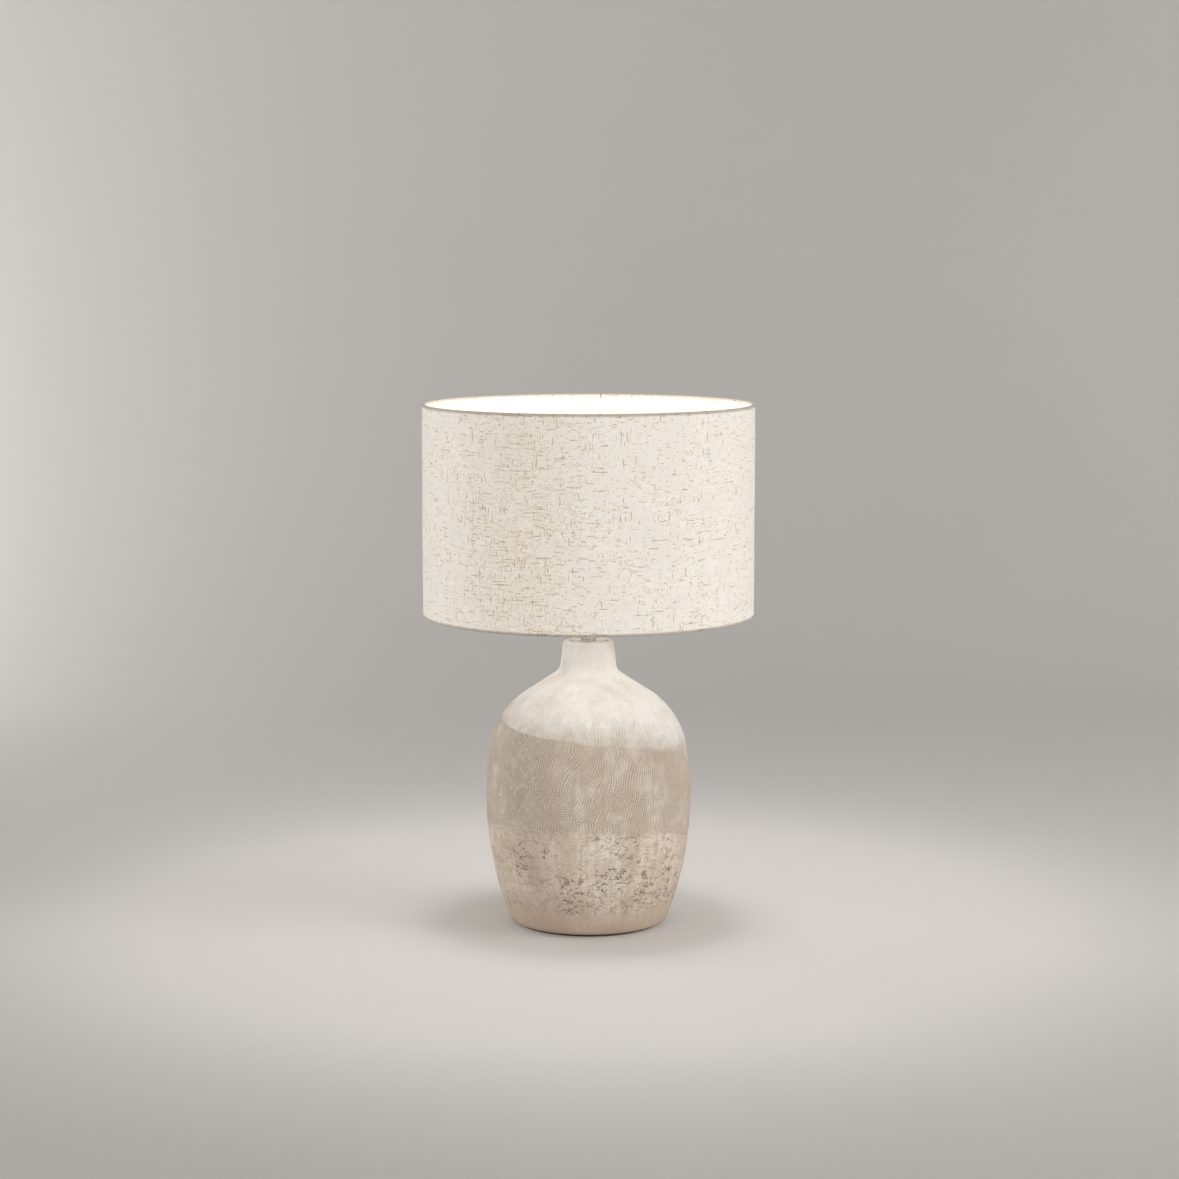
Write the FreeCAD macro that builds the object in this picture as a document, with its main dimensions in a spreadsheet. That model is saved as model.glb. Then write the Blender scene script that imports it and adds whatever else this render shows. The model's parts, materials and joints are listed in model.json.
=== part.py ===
import FreeCAD, Part
import math
import os
import re

import Sketcher

# A table lamp: a hollow ceramic vessel on a felt pad, an E27 lampholder clamped to its neck by a
# threaded nipple, a screw-in bulb, and a drum shade whose wire spider hangs on the lampholder's
# flange under a clamp ring. Millimetres, +Z up, the origin at the centre of the pad's underside.
# The back of the lamp, where the mains lead goes in, is +Y.

DIMENSIONS = {
    # The pad and the vessel: its side is one large arc, its shoulder a smaller one tangent to it.
    "felt_radius": 74.5,
    "felt_height": 2.5,
    "belly_radius": 108.5,
    "belly_level": 135.5,
    "side_radius": 354,
    "shoulder_level": 190,
    "shoulder_radius": 84,
    "neck_foot_radius": 29.8,
    "neck_foot_level": 271.5,
    "neck_radius": 26.2,
    "neck_level": 304,
    "neck_fillet": 11.5,
    "lip_fillet": 4,
    "foot_fillet": 8,
    "vessel_wall": 7,
    "vessel_floor": 9,
    "foot_opening_radius": 58,
    "cover_radius": 63,
    "cover_height": 3,
    "mouth_radius": 19.6,
    "mouth_depth": 1.2,
    "small_gap": 0.2,
    # The lead's inlet, square to the vessel's side.
    "inlet_level": 22,
    "inlet_hole_radius": 6,
    "bush_radius": 5.8,
    "bush_bore": 4,
    "bush_flange_radius": 8.5,
    "bush_flange_height": 2,
    "bush_length": 14,
    # The nipple and what it clamps.
    "nipple_radius": 5,
    "nipple_bore": 3.9,
    "nipple_foot": 289,
    "nipple_top": 320,
    "nipple_hole": 5.5,
    "thread_gap": 0.05,
    "washer_radius": 15,
    "washer_height": 1.5,
    "nut_flats": 14,
    "nut_height": 3,
    "cap_height": 1,
    "cap_rim": 1.8,
    "cap_rim_width": 1.5,
    # The lampholder.
    "holder_foot": 307,
    "holder_radius": 19.8,
    "boss_radius": 9,
    "boss_height": 5,
    "holder_slope": 7,
    "holder_joint": 331,
    "holder_wall": 1.8,
    "grub_radius": 1.45,
    "grub_level": 309.5,
    "grub_length": 3.5,
    "flange_level": 344,
    "flange_height": 2,
    "flange_radius": 22.5,
    "skirt_radius": 19.3,
    "skirt_top": 369,
    "skirt_thread_depth": 0.6,
    "skirt_thread_pitch": 2.5,
    "skirt_thread_height": 17.5,
    "skirt_thread_foot": 0.9,
    "skirt_thread_crest": 0.25,
    "insert_radius": 17.4,
    "insert_foot": 333,
    "insert_top": 342,
    "insert_bore": 1.5,
    "insert_recess_radius": 11,
    "insert_recess_depth": 2,
    "screw_shell_radius": 14.3,
    "screw_shell_bore": 13.5,
    "screw_shell_foot": 343,
    "screw_shell_top": 367.5,
    "edison_pitch": 3.629,
    "edison_lead_in": 2.3,
    "ridge_depth": 1,
    "cap_ridge_foot": 1,
    "cap_ridge_middle": 0.75,
    "cap_ridge_crest": 0.3,
    "shell_ridge_foot": 0.5,
    "shell_ridge_crest": 0.25,
    "shell_ridge_turns": 5,
    "terminal_width": 6,
    "terminal_depth": 8,
    "terminal_height": 6,
    "terminal_spread": 9,
    "terminal_screw_radius": 1.4,
    "terminal_head_radius": 2.4,
    "terminal_head_height": 1.6,
    "slot_width": 0.6,
    "contact_width": 8,
    "contact_thickness": 0.5,
    "contact_rise": 3.8,
    "contact_tail": 9,
    "contact_bend": 2.8,
    "contact_shelf": 1.9,
    "contact_nose": 4.8,
    # The clamp ring and the shade.
    "play": 0.3,
    "fitter_bore": 20.3,
    "fitter_radius": 27,
    "fitter_height": 1.5,
    "ring_bore": 20.3,
    "ring_radius": 24.5,
    "ring_height": 6.5,
    "ring_chamfer": 1,
    "ring_flutes": 16,
    "flute_radius": 1.5,
    "shade_radius": 175,
    "shade_foot": 331,
    "shade_top": 555,
    "fabric": 0.6,
    "wire_radius": 1.5,
    "wrap_gap": 0.05,
    "liner_thickness": 0.5,
    "seam_angle": 4,
    "seam_thickness": 0.4,
    "spider_arms": 3,
    "first_arm": 30,
    "arm_inset": 1,
    # The bulb: an A60 lamp on an E27 cap.
    "bulb_foot": 344.1,
    "tip_radius": 4.8,
    "tip_height": 1.5,
    "tip_chamfer": 0.7,
    "insulator_foot_radius": 5.5,
    "insulator_top": 350.8,
    "screw_cap_radius": 12.1,
    "screw_cap_bore": 11.2,
    "screw_cap_foot": 349.6,
    "screw_cap_top": 371.2,
    "screw_cap_flare": 13.4,
    "screw_cap_chamfer": 0.7,
    "flare_height": 1.2,
    "cap_ridge_height": 15.5,
    "collar_foot_radius": 14,
    "collar_top_radius": 24.2,
    "collar_top": 404,
    "collar_wall": 1.6,
    "spigot_length": 5.3,
    "globe_radius": 30,
    "globe_wall": 1,
    "globe_sink": 18.5,
    "led_board_radius": 21.6,
    "board_thickness": 1.6,
    "led_count": 10,
    "led_circle": 13,
    "led_side": 3,
    "led_height": 0.8,
    "driver_width": 20,
    "driver_height": 24,
}

doc = FreeCAD.newDocument("TableLamp")
sheet = doc.addObject("Spreadsheet::Sheet", "Dims")


def fill_sheet():
    """One row for each driving dimension: its name beside its value."""
    for row, (alias, value) in enumerate(DIMENSIONS.items(), start=1):
        sheet.set(f"A{row}", alias)
        sheet.set(f"B{row}", str(value))
        sheet.setAlias(f"B{row}", alias)
    doc.recompute()


def bound(formula):
    """A formula in the sheet's names, spelled as FreeCAD's expressions need it."""
    return re.sub(r"[a-z]\w+", lambda word: f"Dims.{word[0]}" if word[0] in DIMENSIONS else word[0], formula)


def number(formula):
    """What a formula in the sheet's names comes to."""
    return float(sheet.evalExpression(bound(formula)))


def origin_feature(body, role):
    """A body's own origin plane or axis."""
    return next(feature for feature in body.Origin.OriginFeatures if feature.Role == role)


def sketch_on(body, role, name):
    """An empty sketch on one of a body's origin planes."""
    sketch = body.newObject("Sketcher::SketchObject", name)
    sketch.AttachmentSupport = [(origin_feature(body, role), "")]
    sketch.MapMode = "FlatFace"
    return sketch


def fix(sketch, constraint, formula):
    """Adds a dimension and ties it to the sheet."""
    index = sketch.addConstraint(Sketcher.Constraint(*constraint, number(formula)))
    sketch.setExpression(f"Constraints[{index}]", bound(formula))


def pin(sketch, element, end, across, up):
    """Fixes one end of a sketch element at two formulas, measured from the sketch's origin."""
    for kind, axis, formula in (("DistanceX", -2, across), ("DistanceY", -1, up)):
        if abs(number(formula)) < 1e-9:
            sketch.addConstraint(Sketcher.Constraint("PointOnObject", element, end, axis))
        else:
            fix(sketch, (kind, -1, 1, element, end), formula)


def arc_between(start, stop, radius, turn):
    """The shorter arc from start to stop, counter-clockwise for turn 1 and clockwise for turn -1."""
    chord = stop - start
    aside = FreeCAD.Vector(-chord.y, chord.x, 0).normalize() * turn
    depth = math.sqrt(max(radius**2 - (chord.Length / 2) ** 2, 0))
    centre = (start + stop) * 0.5 + aside * depth
    first, last = (start, stop) if turn > 0 else (stop, start)
    angles = [math.atan2(point.y - centre.y, point.x - centre.x) for point in (first, last)]
    return Part.ArcOfCircle(Part.Circle(centre, FreeCAD.Vector(0, 0, 1), radius), *angles)


def loop(sketch, corners):
    """Draws a closed outline from corners given as formulas.

    A corner is (across, up), or (across, up, radius, turn) where an arc runs to the next corner.
    """
    points = [FreeCAD.Vector(number(corner[0]), number(corner[1]), 0) for corner in corners]
    ends = []
    for place, corner in enumerate(corners):
        start, stop = points[place], points[(place + 1) % len(points)]
        if len(corner) == 2:
            element = sketch.addGeometry(Part.LineSegment(start, stop))
            ends.append((element, 1, 2))
        else:
            radius, turn = corner[2:]
            element = sketch.addGeometry(arc_between(start, stop, number(radius), turn))
            ends.append((element, 1, 2) if turn > 0 else (element, 2, 1))
    for (element, _, last), (following, first, _) in zip(ends, ends[1:] + ends[:1]):
        sketch.addConstraint(Sketcher.Constraint("Coincident", element, last, following, first))
    for (element, first, _), corner in zip(ends, corners):
        pin(sketch, element, first, *corner[:2])
        if len(corner) > 2:
            fix(sketch, ("Radius", element), corner[2])


def revolve(body, sketch, kind="PartDesign::Revolution", angle=360):
    """Turns a sketch about its upright axis, to add material or to cut a groove."""
    feature = body.newObject(kind, "Turned")
    feature.Profile = sketch
    feature.ReferenceAxis = (sketch, ["V_Axis"])
    feature.Angle = angle
    return feature


def turned(label, corners, angle=360):
    """A body of revolution about Z from an outline of (radius, level) corners."""
    body = doc.addObject("PartDesign::Body", label)
    sketch = sketch_on(body, "XZ_Plane", "Outline")
    loop(sketch, corners)
    revolve(body, sketch, angle=angle)
    doc.recompute()
    return body


def pocket_through(body, sketch, reversed_side=False):
    """Cuts a sketch right through a body, and checks that it took something away."""
    before = body.Tip.Shape.Volume
    cut = body.newObject("PartDesign::Pocket", "Cut")
    cut.Profile = sketch
    cut.Type = "ThroughAll"
    cut.Reversed = reversed_side
    doc.recompute()
    if cut.Shape.Volume >= before:
        raise RuntimeError(f"a pocket in {body.Label} cut nothing")
    return cut


def round_edge(body, radius_formula, ring_radius, level):
    """Fillets the circular edge of a turned body that is nearest to a radius and a level."""
    base = body.Tip

    def distance(edge):
        box = edge.BoundBox
        return abs(box.XMax - ring_radius) + abs(box.ZMax - level) + abs(box.ZMin - level)

    edges = enumerate(base.Shape.Edges, start=1)
    nearest = min((e for e in edges if e[1].Closed), key=lambda item: distance(item[1]))
    fillet = body.newObject("PartDesign::Fillet", "Rounded")
    fillet.Base = (base, [f"Edge{nearest[0]}"])
    fillet.setExpression("Radius", bound(radius_formula))
    doc.recompute()


def helical_ridge(body, corners, pitch, height):
    """Winds an outline up round Z as a right-handed thread and adds it to the body."""
    sketch = sketch_on(body, "XZ_Plane", "RidgeSection")
    loop(sketch, corners)
    ridge = body.newObject("PartDesign::AdditiveHelix", "Thread")
    ridge.Profile = sketch
    ridge.ReferenceAxis = (sketch, ["V_Axis"])
    ridge.Mode = "pitch-height-angle"
    ridge.setExpression("Pitch", bound(pitch))
    ridge.setExpression("Height", bound(height))
    doc.recompute()


def set_down(item, place, turn=None):
    """Puts an object at three formulas, turned about its own origin if asked."""
    item.Placement = FreeCAD.Placement(FreeCAD.Vector(), turn or FreeCAD.Rotation())
    for axis, formula in zip("xyz", place):
        item.setExpression(f"Placement.Base.{axis}", bound(formula))


def sized(kind, name, sizes, place=("0", "0", "0"), turn=None):
    """A Part primitive whose sizes and position are tied to the sheet."""
    solid = doc.addObject(kind, name)
    for size, formula in sizes.items():
        solid.setExpression(size, bound(formula))
    set_down(solid, place, turn)
    return solid


def combined(kind, label, base, tool):
    """A Part boolean of two objects."""
    result = doc.addObject(kind, label)
    result.Base = base
    result.Tool = tool
    doc.recompute()
    return result


def grouped(label, solids):
    """Separate like solids that share one node."""
    group = doc.addObject("Part::Compound", label)
    group.Links = solids
    doc.recompute()
    return group


# The vessel ------------------------------------------------------------------------------------


def vessel_outline(sketch, inset, floor, neck_foot, neck_top):
    """Floor, side arc, shoulder arc, straight slope and neck, closed down the axis.

    The arcs keep their centres and lose the inset, so that the wall has one thickness.
    """
    lean = math.asin((number("shoulder_level") - number("belly_level")) / number("side_radius"))
    side = number(f"side_radius - {inset}")
    shoulder = number(f"shoulder_radius - {inset}")
    centre = FreeCAD.Vector(number("belly_radius - side_radius"), number("belly_level"), 0)
    outwards = FreeCAD.Vector(math.cos(lean), math.sin(lean), 0)
    upper = centre + outwards * (number("side_radius") - number("shoulder_radius"))
    foot_lean = math.asin((number(floor) - centre.y) / side)
    foot = centre + FreeCAD.Vector(math.cos(foot_lean), math.sin(foot_lean), 0) * side
    corner = FreeCAD.Vector(number(neck_foot[0]), number(neck_foot[1]), 0)
    top = FreeCAD.Vector(number(neck_top[0]), number(neck_top[1]), 0)
    towards = corner - upper
    slope_lean = math.atan2(towards.y, towards.x) - math.acos(shoulder / towards.Length)
    slope_start = upper + FreeCAD.Vector(math.cos(slope_lean), math.sin(slope_lean), 0) * shoulder
    upright = FreeCAD.Vector(0, 0, 1)
    low, high = FreeCAD.Vector(0, foot.y, 0), FreeCAD.Vector(0, top.y, 0)
    shapes = [
        Part.LineSegment(low, foot),
        Part.ArcOfCircle(Part.Circle(centre, upright, side), foot_lean, lean),
        Part.ArcOfCircle(Part.Circle(upper, upright, shoulder), lean, slope_lean),
        Part.LineSegment(slope_start, corner),
        Part.LineSegment(corner, top),
        Part.LineSegment(top, high),
        Part.LineSegment(high, low),
    ]
    floor_line, side_arc, shoulder_arc, slope, neck, lid, axis = (sketch.addGeometry(s) for s in shapes)
    joined = ((floor_line, side_arc), (slope, neck), (neck, lid), (lid, axis), (axis, floor_line))
    for element, following in joined:
        sketch.addConstraint(Sketcher.Constraint("Coincident", element, 2, following, 1))
    for element, following in ((side_arc, shoulder_arc), (shoulder_arc, slope)):
        sketch.addConstraint(Sketcher.Constraint("Tangent", element, 2, following, 1))
    for line in (floor_line, lid):
        sketch.addConstraint(Sketcher.Constraint("Horizontal", line))
    pin(sketch, floor_line, 1, "0", floor)
    pin(sketch, side_arc, 3, "belly_radius - side_radius", "belly_level")
    fix(sketch, ("Radius", side_arc), f"side_radius - {inset}")
    fix(sketch, ("Radius", shoulder_arc), f"shoulder_radius - {inset}")
    joint_level = f"belly_level + (side_radius - {inset}) * (shoulder_level - belly_level) / side_radius"
    fix(sketch, ("DistanceY", -1, 1, shoulder_arc, 1), joint_level)
    pin(sketch, neck, 1, *neck_foot)
    pin(sketch, neck, 2, *neck_top)
    sketch.addConstraint(Sketcher.Constraint("PointOnObject", axis, 1, -2))


def on_inlet_axis(distance):
    """A place on the inlet's axis, that far out from the side arc's centre, and the turn for it."""
    lean = "asin((belly_level - inlet_level) / side_radius)"
    across = f"belly_radius - side_radius + ({distance}) * cos({lean})"
    up = f"belly_level - ({distance}) * sin({lean})"
    return ("0", across, up), FreeCAD.Rotation(FreeCAD.Vector(1, 0, 0), -90 - number(lean))


def ceramic_body():
    """The slip-cast vessel: closed top with a hole for the nipple, wide opening underneath."""
    body = doc.addObject("PartDesign::Body", "vessel")
    outside = sketch_on(body, "XZ_Plane", "Outside")
    vessel_outline(
        outside, "0", "felt_height", ("neck_foot_radius", "neck_foot_level"), ("neck_radius", "neck_level")
    )
    revolve(body, outside)
    doc.recompute()
    foot_reach = math.sqrt(number("side_radius^2 - (belly_level - felt_height)^2"))
    foot_radius = foot_reach + number("belly_radius - side_radius")
    round_edge(body, "neck_fillet", number("neck_foot_radius"), number("neck_foot_level"))
    round_edge(body, "foot_fillet", foot_radius, number("felt_height"))
    round_edge(body, "lip_fillet", number("neck_radius"), number("neck_level"))
    inside = sketch_on(body, "XZ_Plane", "Inside")
    vessel_outline(
        inside,
        "vessel_wall",
        "felt_height + vessel_floor",
        ("neck_foot_radius - vessel_wall", "neck_foot_level - vessel_wall / 2"),
        ("neck_radius - vessel_wall", "neck_level - vessel_wall"),
    )
    revolve(body, inside, "PartDesign::Groove")
    openings = sketch_on(body, "XZ_Plane", "Openings")
    loop(
        openings,
        [
            ("0", "felt_height - 1"),
            ("cover_radius", "felt_height - 1"),
            ("cover_radius", "felt_height + cover_height"),
            ("foot_opening_radius", "felt_height + cover_height"),
            ("foot_opening_radius", "felt_height + vessel_floor + 1"),
            ("0", "felt_height + vessel_floor + 1"),
        ],
    )
    revolve(body, openings, "PartDesign::Groove")
    mouth = sketch_on(body, "XZ_Plane", "Mouth")
    loop(
        mouth,
        [
            ("0", "neck_level - vessel_wall - 1"),
            ("nipple_hole", "neck_level - vessel_wall - 1"),
            ("nipple_hole", "neck_level - mouth_depth"),
            ("mouth_radius", "neck_level - mouth_depth"),
            ("mouth_radius", "neck_level + 1"),
            ("0", "neck_level + 1"),
        ],
    )
    revolve(body, mouth, "PartDesign::Groove")
    drill_sizes = {"Radius": "inlet_hole_radius", "Height": "vessel_wall * 4"}
    drill = sized("Part::Cylinder", "inlet_drill", drill_sizes, *on_inlet_axis("side_radius - vessel_wall * 2"))
    return combined("Part::Cut", "ceramic_body", body, drill)


def felt_pad():
    return sized("Part::Cylinder", "felt_pad", {"Radius": "felt_radius", "Height": "felt_height"})


def base_cover():
    """A fibreboard disc let into the vessel's foot."""
    return sized(
        "Part::Cylinder",
        "base_cover",
        {"Radius": "cover_radius - small_gap", "Height": "cover_height"},
        ("0", "0", "felt_height"),
    )


def cord_bush():
    """A flanged bush that lines the inlet. It is turned upright and then set square to the side."""
    body = turned(
        "cord_bush",
        [
            ("bush_bore", "0"),
            ("bush_radius", "0"),
            ("bush_radius", "bush_length - bush_flange_height"),
            ("bush_flange_radius", "bush_length - bush_flange_height"),
            ("bush_flange_radius", "bush_length"),
            ("bush_bore", "bush_length"),
        ],
    )
    set_down(body, *on_inlet_axis("side_radius + bush_flange_height - bush_length"))
    doc.recompute()
    return body


# The neck's fixings ----------------------------------------------------------------------------


def threaded_nipple():
    return turned(
        "threaded_nipple",
        [
            ("nipple_bore", "nipple_foot"),
            ("nipple_radius", "nipple_foot"),
            ("nipple_radius", "nipple_top"),
            ("nipple_bore", "nipple_top"),
        ],
    )


def hex_nut(label, level):
    """A thin nut for the nipple, standing on a level."""
    body = doc.addObject("PartDesign::Body", label)
    hexagon = sketch_on(body, "XY_Plane", "Hexagon")
    reach = "nut_flats / sqrt(3)"
    loop(hexagon, [(f"{reach} * cos({60 * k} deg)", f"{reach} * sin({60 * k} deg)") for k in range(6)])
    bore = hexagon.addGeometry(Part.Circle(FreeCAD.Vector(), FreeCAD.Vector(0, 0, 1), number("nipple_radius")))
    hexagon.addConstraint(Sketcher.Constraint("Coincident", bore, 3, -1, 1))
    fix(hexagon, ("Radius", bore), "nipple_radius + thread_gap")
    pad = body.newObject("PartDesign::Pad", "Pad")
    pad.Profile = hexagon
    pad.setExpression("Length", bound("nut_height"))
    body.setExpression("Placement.Base.z", bound(level))
    doc.recompute()
    return body


def inner_washer():
    return turned(
        "inner_washer",
        [
            ("nipple_radius + small_gap", "neck_level - vessel_wall - washer_height"),
            ("washer_radius", "neck_level - vessel_wall - washer_height"),
            ("washer_radius", "neck_level - vessel_wall"),
            ("nipple_radius + small_gap", "neck_level - vessel_wall"),
        ],
    )


def neck_cap():
    """A pressed metal disc with a raised rim, let into the vessel's mouth."""
    seat = "neck_level - mouth_depth"
    edge = "mouth_radius - small_gap"
    return turned(
        "neck_cap",
        [
            ("nipple_radius + small_gap", seat),
            (edge, seat),
            (edge, f"{seat} + cap_rim"),
            (f"{edge} - cap_rim_width", f"{seat} + cap_rim"),
            (f"{edge} - cap_rim_width - (cap_rim - cap_height)", f"{seat} + cap_height"),
            ("nipple_radius + small_gap", f"{seat} + cap_height"),
        ],
    )


# The lampholder --------------------------------------------------------------------------------

BACKWARDS = FreeCAD.Rotation(FreeCAD.Vector(1, 0, 0), -90)


def holder_cap():
    """The lampholder's lower half, screwed down the nipple, with a hole for its grub screw."""
    body = turned(
        "holder_cap_turned",
        [
            ("nipple_radius + thread_gap", "holder_foot"),
            ("boss_radius", "holder_foot"),
            ("boss_radius", "holder_foot + boss_height"),
            ("holder_radius", "holder_foot + boss_height + holder_slope"),
            ("holder_radius", "holder_joint"),
            ("holder_radius - holder_wall", "holder_joint"),
            ("holder_radius - holder_wall", "holder_foot + boss_height + holder_slope + holder_wall"),
            ("boss_radius", "holder_foot + boss_height + holder_slope - small_gap"),
            ("nipple_radius + thread_gap", "holder_foot + boss_height + holder_slope - small_gap"),
        ],
    )
    drill_sizes = {"Radius": "grub_radius + thread_gap", "Height": "boss_radius + 1"}
    drill = sized("Part::Cylinder", "grub_drill", drill_sizes, ("0", "0", "grub_level"), BACKWARDS)
    return combined("Part::Cut", "holder_cap", body, drill)


def holder_grub_screw():
    """The slotted screw that stops the lampholder turning on the nipple."""
    shank = sized(
        "Part::Cylinder",
        "grub_shank",
        {"Radius": "grub_radius", "Height": "grub_length"},
        ("0", "nipple_radius + thread_gap", "grub_level"),
        BACKWARDS,
    )
    slot = sized(
        "Part::Box",
        "grub_slot",
        {"Length": "grub_radius * 3", "Width": "grub_radius", "Height": "slot_width"},
        (
            "-grub_radius * 1.5",
            "nipple_radius + thread_gap + grub_length - grub_radius / 2",
            "grub_level - slot_width / 2",
        ),
    )
    return combined("Part::Cut", "holder_grub_screw", shank, slot)


def holder_shell():
    """The upper half: a flange that carries the shade, and a threaded skirt for the clamp ring."""
    body = turned(
        "holder_shell",
        [
            ("insert_radius + small_gap", "holder_joint"),
            ("holder_radius", "holder_joint"),
            ("holder_radius", "flange_level"),
            ("flange_radius", "flange_level"),
            ("flange_radius", "flange_level + flange_height"),
            ("skirt_radius", "flange_level + flange_height"),
            ("skirt_radius", "skirt_top"),
            ("screw_shell_radius + small_gap", "skirt_top"),
            ("screw_shell_radius + small_gap", "screw_shell_foot"),
            ("insert_radius + small_gap", "insert_top"),
        ],
    )
    start = "flange_level + flange_height + skirt_thread_pitch"
    helical_ridge(
        body,
        [
            ("skirt_radius - small_gap", f"{start} - skirt_thread_foot"),
            ("skirt_radius + skirt_thread_depth", f"{start} - skirt_thread_crest"),
            ("skirt_radius + skirt_thread_depth", f"{start} + skirt_thread_crest"),
            ("skirt_radius - small_gap", f"{start} + skirt_thread_foot"),
        ],
        "skirt_thread_pitch",
        "skirt_thread_height",
    )
    return body


def holder_insert():
    """The insulating block between the terminals and the contacts."""
    return turned(
        "holder_insert",
        [
            ("insert_bore", "insert_foot"),
            ("insert_radius", "insert_foot"),
            ("insert_radius", "insert_top"),
            ("insert_recess_radius", "insert_top"),
            ("insert_recess_radius", "insert_top - insert_recess_depth"),
            ("insert_bore", "insert_top - insert_recess_depth"),
        ],
    )


def screw_shell():
    """The live sleeve that takes the bulb, its thread half a pitch out of step with the cap's."""
    body = turned(
        "screw_shell",
        [
            ("screw_shell_bore", "screw_shell_foot"),
            ("screw_shell_radius", "screw_shell_foot"),
            ("screw_shell_radius", "screw_shell_top"),
            ("screw_shell_bore", "screw_shell_top"),
        ],
    )
    start = "screw_cap_foot + edison_lead_in - edison_pitch * 1.5"
    helical_ridge(
        body,
        [
            ("screw_shell_bore + small_gap", f"{start} - shell_ridge_foot"),
            ("screw_shell_bore + small_gap", f"{start} + shell_ridge_foot"),
            ("screw_shell_bore - ridge_depth", f"{start} + shell_ridge_crest"),
            ("screw_shell_bore - ridge_depth", f"{start} - shell_ridge_crest"),
        ],
        "edison_pitch",
        "edison_pitch * shell_ridge_turns",
    )
    return body


def centre_contact():
    """A bent bronze strip whose raised end meets the bulb's tip."""
    body = doc.addObject("PartDesign::Body", "centre_contact")
    side = sketch_on(body, "XZ_Plane", "SideView")
    seat = "insert_top - insert_recess_depth"
    loop(
        side,
        [
            ("-contact_tail", seat),
            ("-contact_bend", seat),
            ("contact_shelf", f"{seat} + contact_rise - contact_thickness"),
            ("contact_nose", f"{seat} + contact_rise - contact_thickness"),
            ("contact_nose", f"{seat} + contact_rise"),
            ("contact_shelf - contact_thickness / 2", f"{seat} + contact_rise"),
            ("-contact_bend - contact_thickness / 2", f"{seat} + contact_thickness"),
            ("-contact_tail", f"{seat} + contact_thickness"),
        ],
    )
    pad = body.newObject("PartDesign::Pad", "Pad")
    pad.Profile = side
    pad.SideType = "Symmetric"
    pad.setExpression("Length", bound("contact_width"))
    doc.recompute()
    return body


def terminal_blocks():
    """Two brass blocks under the insert, each bored for its screw."""
    blocks = []
    for side in ("-1", "1"):
        block = sized(
            "Part::Box",
            "terminal_block",
            {"Length": "terminal_width", "Width": "terminal_depth", "Height": "terminal_height"},
            (
                f"{side} * terminal_spread - terminal_width / 2",
                "-terminal_depth / 2",
                "insert_foot - terminal_height",
            ),
        )
        bore = sized(
            "Part::Cylinder",
            "terminal_bore",
            {"Radius": "terminal_screw_radius + thread_gap", "Height": "terminal_height / 2"},
            (f"{side} * terminal_spread", "0", "insert_foot - terminal_height"),
        )
        blocks.append(combined("Part::Cut", "terminal_bored", block, bore))
    return grouped("terminal_blocks", blocks)


def terminal_screws():
    """Two cheese-head screws that come up into the blocks from below."""
    screws = []
    for side in ("-1", "1"):
        across = f"{side} * terminal_spread"
        shank = sized(
            "Part::Cylinder",
            "screw_shank",
            {"Radius": "terminal_screw_radius", "Height": "terminal_height / 2 + terminal_head_height / 2"},
            (across, "0", "insert_foot - terminal_height - terminal_head_height / 2"),
        )
        head = sized(
            "Part::Cylinder",
            "screw_head",
            {"Radius": "terminal_head_radius", "Height": "terminal_head_height"},
            (across, "0", "insert_foot - terminal_height - terminal_head_height"),
        )
        slot = sized(
            "Part::Box",
            "screw_slot",
            {"Length": "terminal_head_radius * 3", "Width": "slot_width", "Height": "terminal_head_height / 2"},
            (
                f"{across} - terminal_head_radius * 1.5",
                "-slot_width / 2",
                "insert_foot - terminal_height - terminal_head_height",
            ),
        )
        whole = combined("Part::Fuse", "screw_whole", shank, head)
        screws.append(combined("Part::Cut", "screw_slotted", whole, slot))
    return grouped("terminal_screws", screws)


def clamp_ring():
    """The fluted ring that holds the shade's fitter down on the flange."""
    foot = "flange_level + flange_height + play + fitter_height + play"
    body = turned(
        "clamp_ring",
        [
            ("ring_bore", foot),
            ("ring_radius", foot),
            ("ring_radius", f"{foot} + ring_height - ring_chamfer"),
            ("ring_radius - ring_chamfer", f"{foot} + ring_height"),
            ("ring_bore", f"{foot} + ring_height"),
        ],
    )
    flute = sketch_on(body, "XY_Plane", "Flute")
    circle = flute.addGeometry(Part.Circle(FreeCAD.Vector(), FreeCAD.Vector(0, 0, 1), number("flute_radius")))
    pin(flute, circle, 3, "ring_radius + flute_radius / 2", "0")
    fix(flute, ("Radius", circle), "flute_radius")
    cut = pocket_through(body, flute, reversed_side=True)
    pattern = body.newObject("PartDesign::PolarPattern", "Flutes")
    pattern.Originals = [cut]
    pattern.Axis = (origin_feature(body, "Z_Axis"), [""])
    pattern.Angle = 360
    pattern.setExpression("Occurrences", bound("ring_flutes"))
    body.Tip = pattern
    doc.recompute()
    return body


# The shade -------------------------------------------------------------------------------------

WIRE_RING = "shade_radius - fabric - wire_radius - wrap_gap"
TOP_WIRE = "shade_top - fabric - wire_radius - wrap_gap"
BOTTOM_WIRE = "shade_foot + fabric + wire_radius + wrap_gap"
OUTER_WRAP = "wire_radius + wrap_gap + fabric"
INNER_WRAP = "wire_radius + wrap_gap"
FITTER_FOOT = "flange_level + flange_height + play"


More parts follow.
